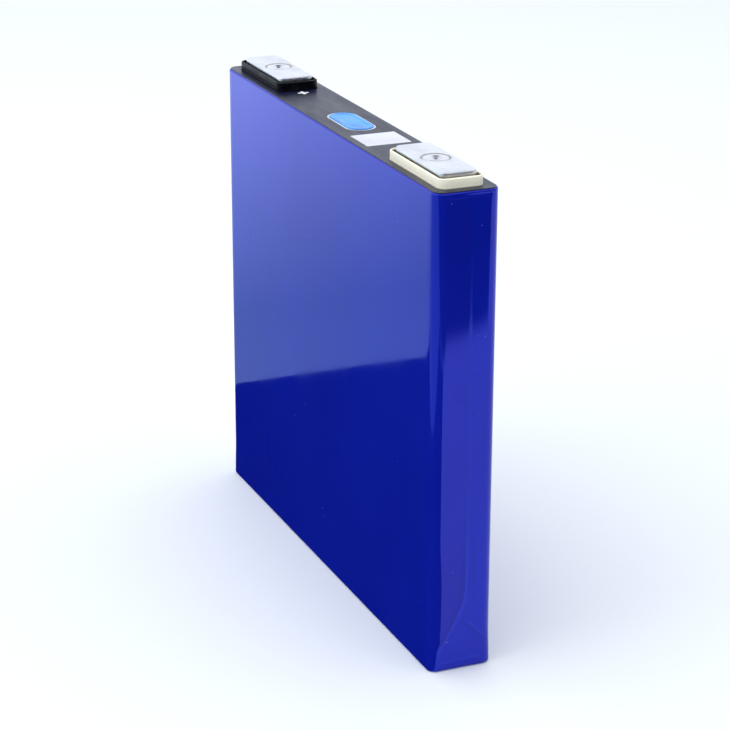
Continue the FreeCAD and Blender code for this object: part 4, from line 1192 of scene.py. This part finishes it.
def make_petal():
    """Plate scored all round and stiffened by a bead underneath."""
    size, bead, top = slot_size("vent_petal")
    low = top - 0.15
    under = (
        (0.0, low + 0.04), (0.05, low), (0.30, low), (0.9, low), (1.15, low - 0.03),
        (1.45, bead + 0.01), (1.7, bead), (2.1, bead), (2.45, bead),
    )
    mesh = Mesh()
    upper = [mesh.loop(inset_slot(size, inset), top + rise) for inset, rise in PETAL_TOP]
    lower = [mesh.loop(inset_slot(size, inset), z) for inset, z in under]
    close_slot_plate(mesh, upper, lower)
    finish(mesh.build("burst_petal", sharp_angle=40), ["petal_metal"], "vent_flap", "vent_petal")


def make_vent_film():
    """Film pressed down over the ring, standing slightly proud at its rim."""
    size, bottom, _ = slot_size("vent_film")
    mesh = Mesh()

    def ring(inset, rise, ripple):
        flat = inset_slot(size, inset)
        x, y = flat[:, 0], flat[:, 1]
        waves = 0.012 * wave(x / 2.3, y / 1.6, 51) + 0.010 * wave(x / 0.9, y / 2.8, 52)
        return mesh.loop(flat, bottom + rise + ripple * waves)

    upper = [ring(inset, rise, min(1.0, inset / 0.5)) for inset, rise in FILM_TOP]
    lower = [ring(inset, rise, 0.0) for inset, rise in FILM_UNDER]
    close_slot_plate(mesh, upper, lower)
    finish(mesh.build("vent_cover_film", sharp_angle=50), ["vent_film_blue"], "vent_flap",
           "vent_film")


make_vent_rim()
make_petal()
make_vent_film()


# ---------------------------------------------------------------------------
# CAD nodes kept as they are, with new materials
# ---------------------------------------------------------------------------
CARRIED = {
    "bottom_sheet": "clear_sheet",
    "can": "can_aluminium",
    "lid": "lid_aluminium",
    "negative_seal_ring": "seal_rubber",
    "positive_seal_ring": "seal_rubber",
    "vent_guard": "lower_plastic",
    "fill_plug": "seal_rubber",
    "fill_cap": "cap_metal",
    "negative_lower_insulator": "lower_plastic",
    "positive_lower_insulator": "lower_plastic",
    "negative_current_collector": "copper",
    "positive_current_collector": "collector_aluminium",
    "negative_tab_front": "copper_foil",
    "negative_tab_rear": "copper_foil",
    "positive_tab_front": "aluminium_foil",
    "positive_tab_rear": "aluminium_foil",
    "negative_weld_tape": "green_tape",
    "positive_weld_tape": "green_tape",
    "jelly_roll_front": "separator_film",
    "jelly_roll_rear": "separator_film",
    "roll_tape_front": "green_tape",
    "roll_tape_rear": "green_tape",
    "insulation_bag": "bag_film",
    "bottom_spacer": "spacer_plastic",
}
for node, material in CARRIED.items():
    dress(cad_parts[node], material)


# ---------------------------------------------------------------------------
# floor and reflection cards
# ---------------------------------------------------------------------------
def flat_sheet(name, x_range, y_range, z=0.0):
    """Horizontal rectangle, in metres."""
    (x0, x1), (y0, y1) = x_range, y_range
    mesh = bpy.data.meshes.new(name)
    mesh.from_pydata([(x0, y0, z), (x1, y0, z), (x1, y1, z), (x0, y1, z)], [], [(0, 1, 2, 3)])
    return link_object(name, mesh)


def make_floor():
    look = Look("studio_floor")
    cloud = look.noise(scale=2.0)
    look.set(Base_Color=look.mix(cloud, (0.83, 0.87, 0.91), (0.86, 0.89, 0.92)), Roughness=0.6,
             Specular_IOR_Level=0.3)
    floor = flat_sheet("studio_floor", (-4.0, 4.0), (-4.0, 4.0))
    floor.location.z = -0.00002
    dress(floor, "studio_floor")


def card(name, x_range, y_range, height, colour, fades=(), far=None):
    """A glowing card seen only in reflections.

    Each fade is (plan direction, distance where clear, distance where full). far is
    (colour, plan direction, distance where it starts, distance where it is complete).
    """
    obj = flat_sheet(name, x_range, y_range, height)
    material = bpy.data.materials.new(name)
    material.use_nodes = True
    graph = Graph(material.node_tree)
    glow = graph.node("Emission", {"Color": colour})
    clear = graph.node("BsdfTransparent")
    cover = graph.node("MixShader", {0: 1.0, 1: clear.outputs[0], 2: glow.outputs[0]})
    graph.node("OutputMaterial", {"Surface": cover.outputs[0]})

    def ramp(direction, start, end, kind):
        position = graph.node("TexCoord").outputs["Object"]
        along = graph.node("VectorMath", {0: position, 1: (*direction, 0)},
                           operation="DOT_PRODUCT").outputs["Value"]
        return graph.ramp(along, over=(start, end), kind=kind)

    if far is not None:
        far_colour, *reach = far
        graph.put(glow.inputs["Color"], graph.mix(ramp(*reach, "LINEAR"), colour, far_colour))
    factor = None
    for fade in fades:
        value = ramp(*fade, "SMOOTHSTEP")
        factor = value if factor is None else graph.times(factor, value)
    if factor is not None:
        graph.put(cover.inputs[0], factor)
    obj.data.materials.append(material)
    for ray in ("camera", "diffuse", "shadow", "transmission", "volume_scatter"):
        setattr(obj, "visible_" + ray, False)


make_floor()
# the floor on the -Y side, brightening away from the cell towards -X
card("sweep_left", x_range=(-1.60, 0.60), y_range=(-1.6, -0.0080), height=0.00004,
     colour=(0.40, 0.57, 0.66), far=((1.25, 1.45, 1.75), (1, 0), -0.22, -0.56))
# the dark shape that the -Y broad face mirrors
card("dark_neighbour_left", x_range=(-0.147, 0.30), y_range=(-0.175, -0.0080), height=0.00008,
     colour=(0.004, 0.006, 0.045))
# the dark side of the room, seen in the upper half of the +X narrow face
card("dark_flag_front", x_range=(0.20, 2.5), y_range=(-1.2, 1.6), height=0.00012,
     colour=(0.006, 0.008, 0.020),
     fades=(((1, 0), 0.300, 0.324), ((-0.75, 1), -0.072, -0.100)))


# ---------------------------------------------------------------------------
# lights and world
# ---------------------------------------------------------------------------
def area_light(name, location, target, size, power, colour):
    data = bpy.data.lights.new(name, "AREA")
    data.shape = "RECTANGLE"
    data.size, data.size_y = size
    data.energy = power
    data.color = colour
    obj = bpy.data.objects.new(name, data)
    obj.location = location
    obj.rotation_mode = "QUATERNION"
    aim = Vector(target) - Vector(location)
    obj.rotation_quaternion = aim.to_track_quat("-Z", "Y")
    bpy.context.scene.collection.objects.link(obj)
    return obj


def make_world():
    """Glossy rays see a room with a dark +X side, all others an even white tent."""
    world = bpy.data.worlds.new("studio")
    bpy.context.scene.world = world
    world.use_nodes = True
    sky = Graph(world.node_tree)
    direction = sky.node("TexCoord").outputs["Generated"]
    axes = sky.axes(direction)
    sideways = sky.ramp(axes[0], over=(0.35, -0.35), to=(0.10, 1.22))
    overhead = sky.ramp(axes[2], over=(0.22, 0.50), to=(0.0, 0.98))
    # a dim spot high on the -X side
    toward_spot = sky.node("VectorMath", {0: direction, 1: (-0.46, 0.195, 0.866)},
                           operation="DOT_PRODUCT").outputs["Value"]
    dimming = sky.ramp(toward_spot, over=(0.955, 0.985), to=(1.0, 0.12))
    strength = sky.times(sky.math("MAXIMUM", sideways, overhead), dimming)
    room = sky.node("Background", {"Color": (0.86, 0.91, 1.0), "Strength": strength})
    tent = sky.node("Background", {"Color": (0.93, 0.965, 1.0), "Strength": 0.92})
    glossy = sky.node("LightPath").outputs["Is Glossy Ray"]
    both = sky.node("MixShader", {0: glossy, 1: tent.outputs[0], 2: room.outputs[0]})
    sky.node("OutputWorld", {"Surface": both.outputs[0]})


top_light = area_light("softbox_top", location=(-0.10, -0.25, 1.15), target=(0, 0, 0),
                       size=(1.3, 1.3), power=7.0, colour=(1.0, 0.99, 0.98))
top_light.visible_glossy = False  # the world above is what shines in the metal
area_light("softbox_left", location=(0.15, -1.25, 0.65), target=(0, 0, 0.06),
           size=(1.0, 0.9), power=3.0, colour=(0.98, 0.99, 1.0))
make_world()

# ---------------------------------------------------------------------------
# camera and view
# ---------------------------------------------------------------------------
CAMERA_PLACE = (0.5710, -0.2379, 0.2840)
YAW = math.radians(22.977)       # from -X towards +Y
PITCH = math.radians(20.003)     # downwards
ROLL = math.radians(0.171)


def make_camera():
    data = bpy.data.cameras.new("camera")
    camera = link_object("camera", data)
    bpy.context.scene.camera = camera
    forward = Vector((-math.cos(PITCH) * math.cos(YAW), math.cos(PITCH) * math.sin(YAW),
                      -math.sin(PITCH)))
    level_right = forward.cross(Vector((0, 0, 1))).normalized()
    level_up = level_right.cross(forward)
    right = level_right * math.cos(ROLL) + level_up * math.sin(ROLL)
    up = -level_right * math.sin(ROLL) + level_up * math.cos(ROLL)
    rows = [(right[i], up[i], -forward[i], CAMERA_PLACE[i]) for i in range(3)]
    camera.matrix_world = Matrix((*rows, (0, 0, 0, 1)))
    data.sensor_width = 36.0
    data.lens = 116.65
    data.clip_start, data.clip_end = 0.01, 50


make_camera()
view = bpy.context.scene.view_settings
view.view_transform = "Standard"
view.look = "None"
view.exposure = 0.0
view.gamma = 1.0
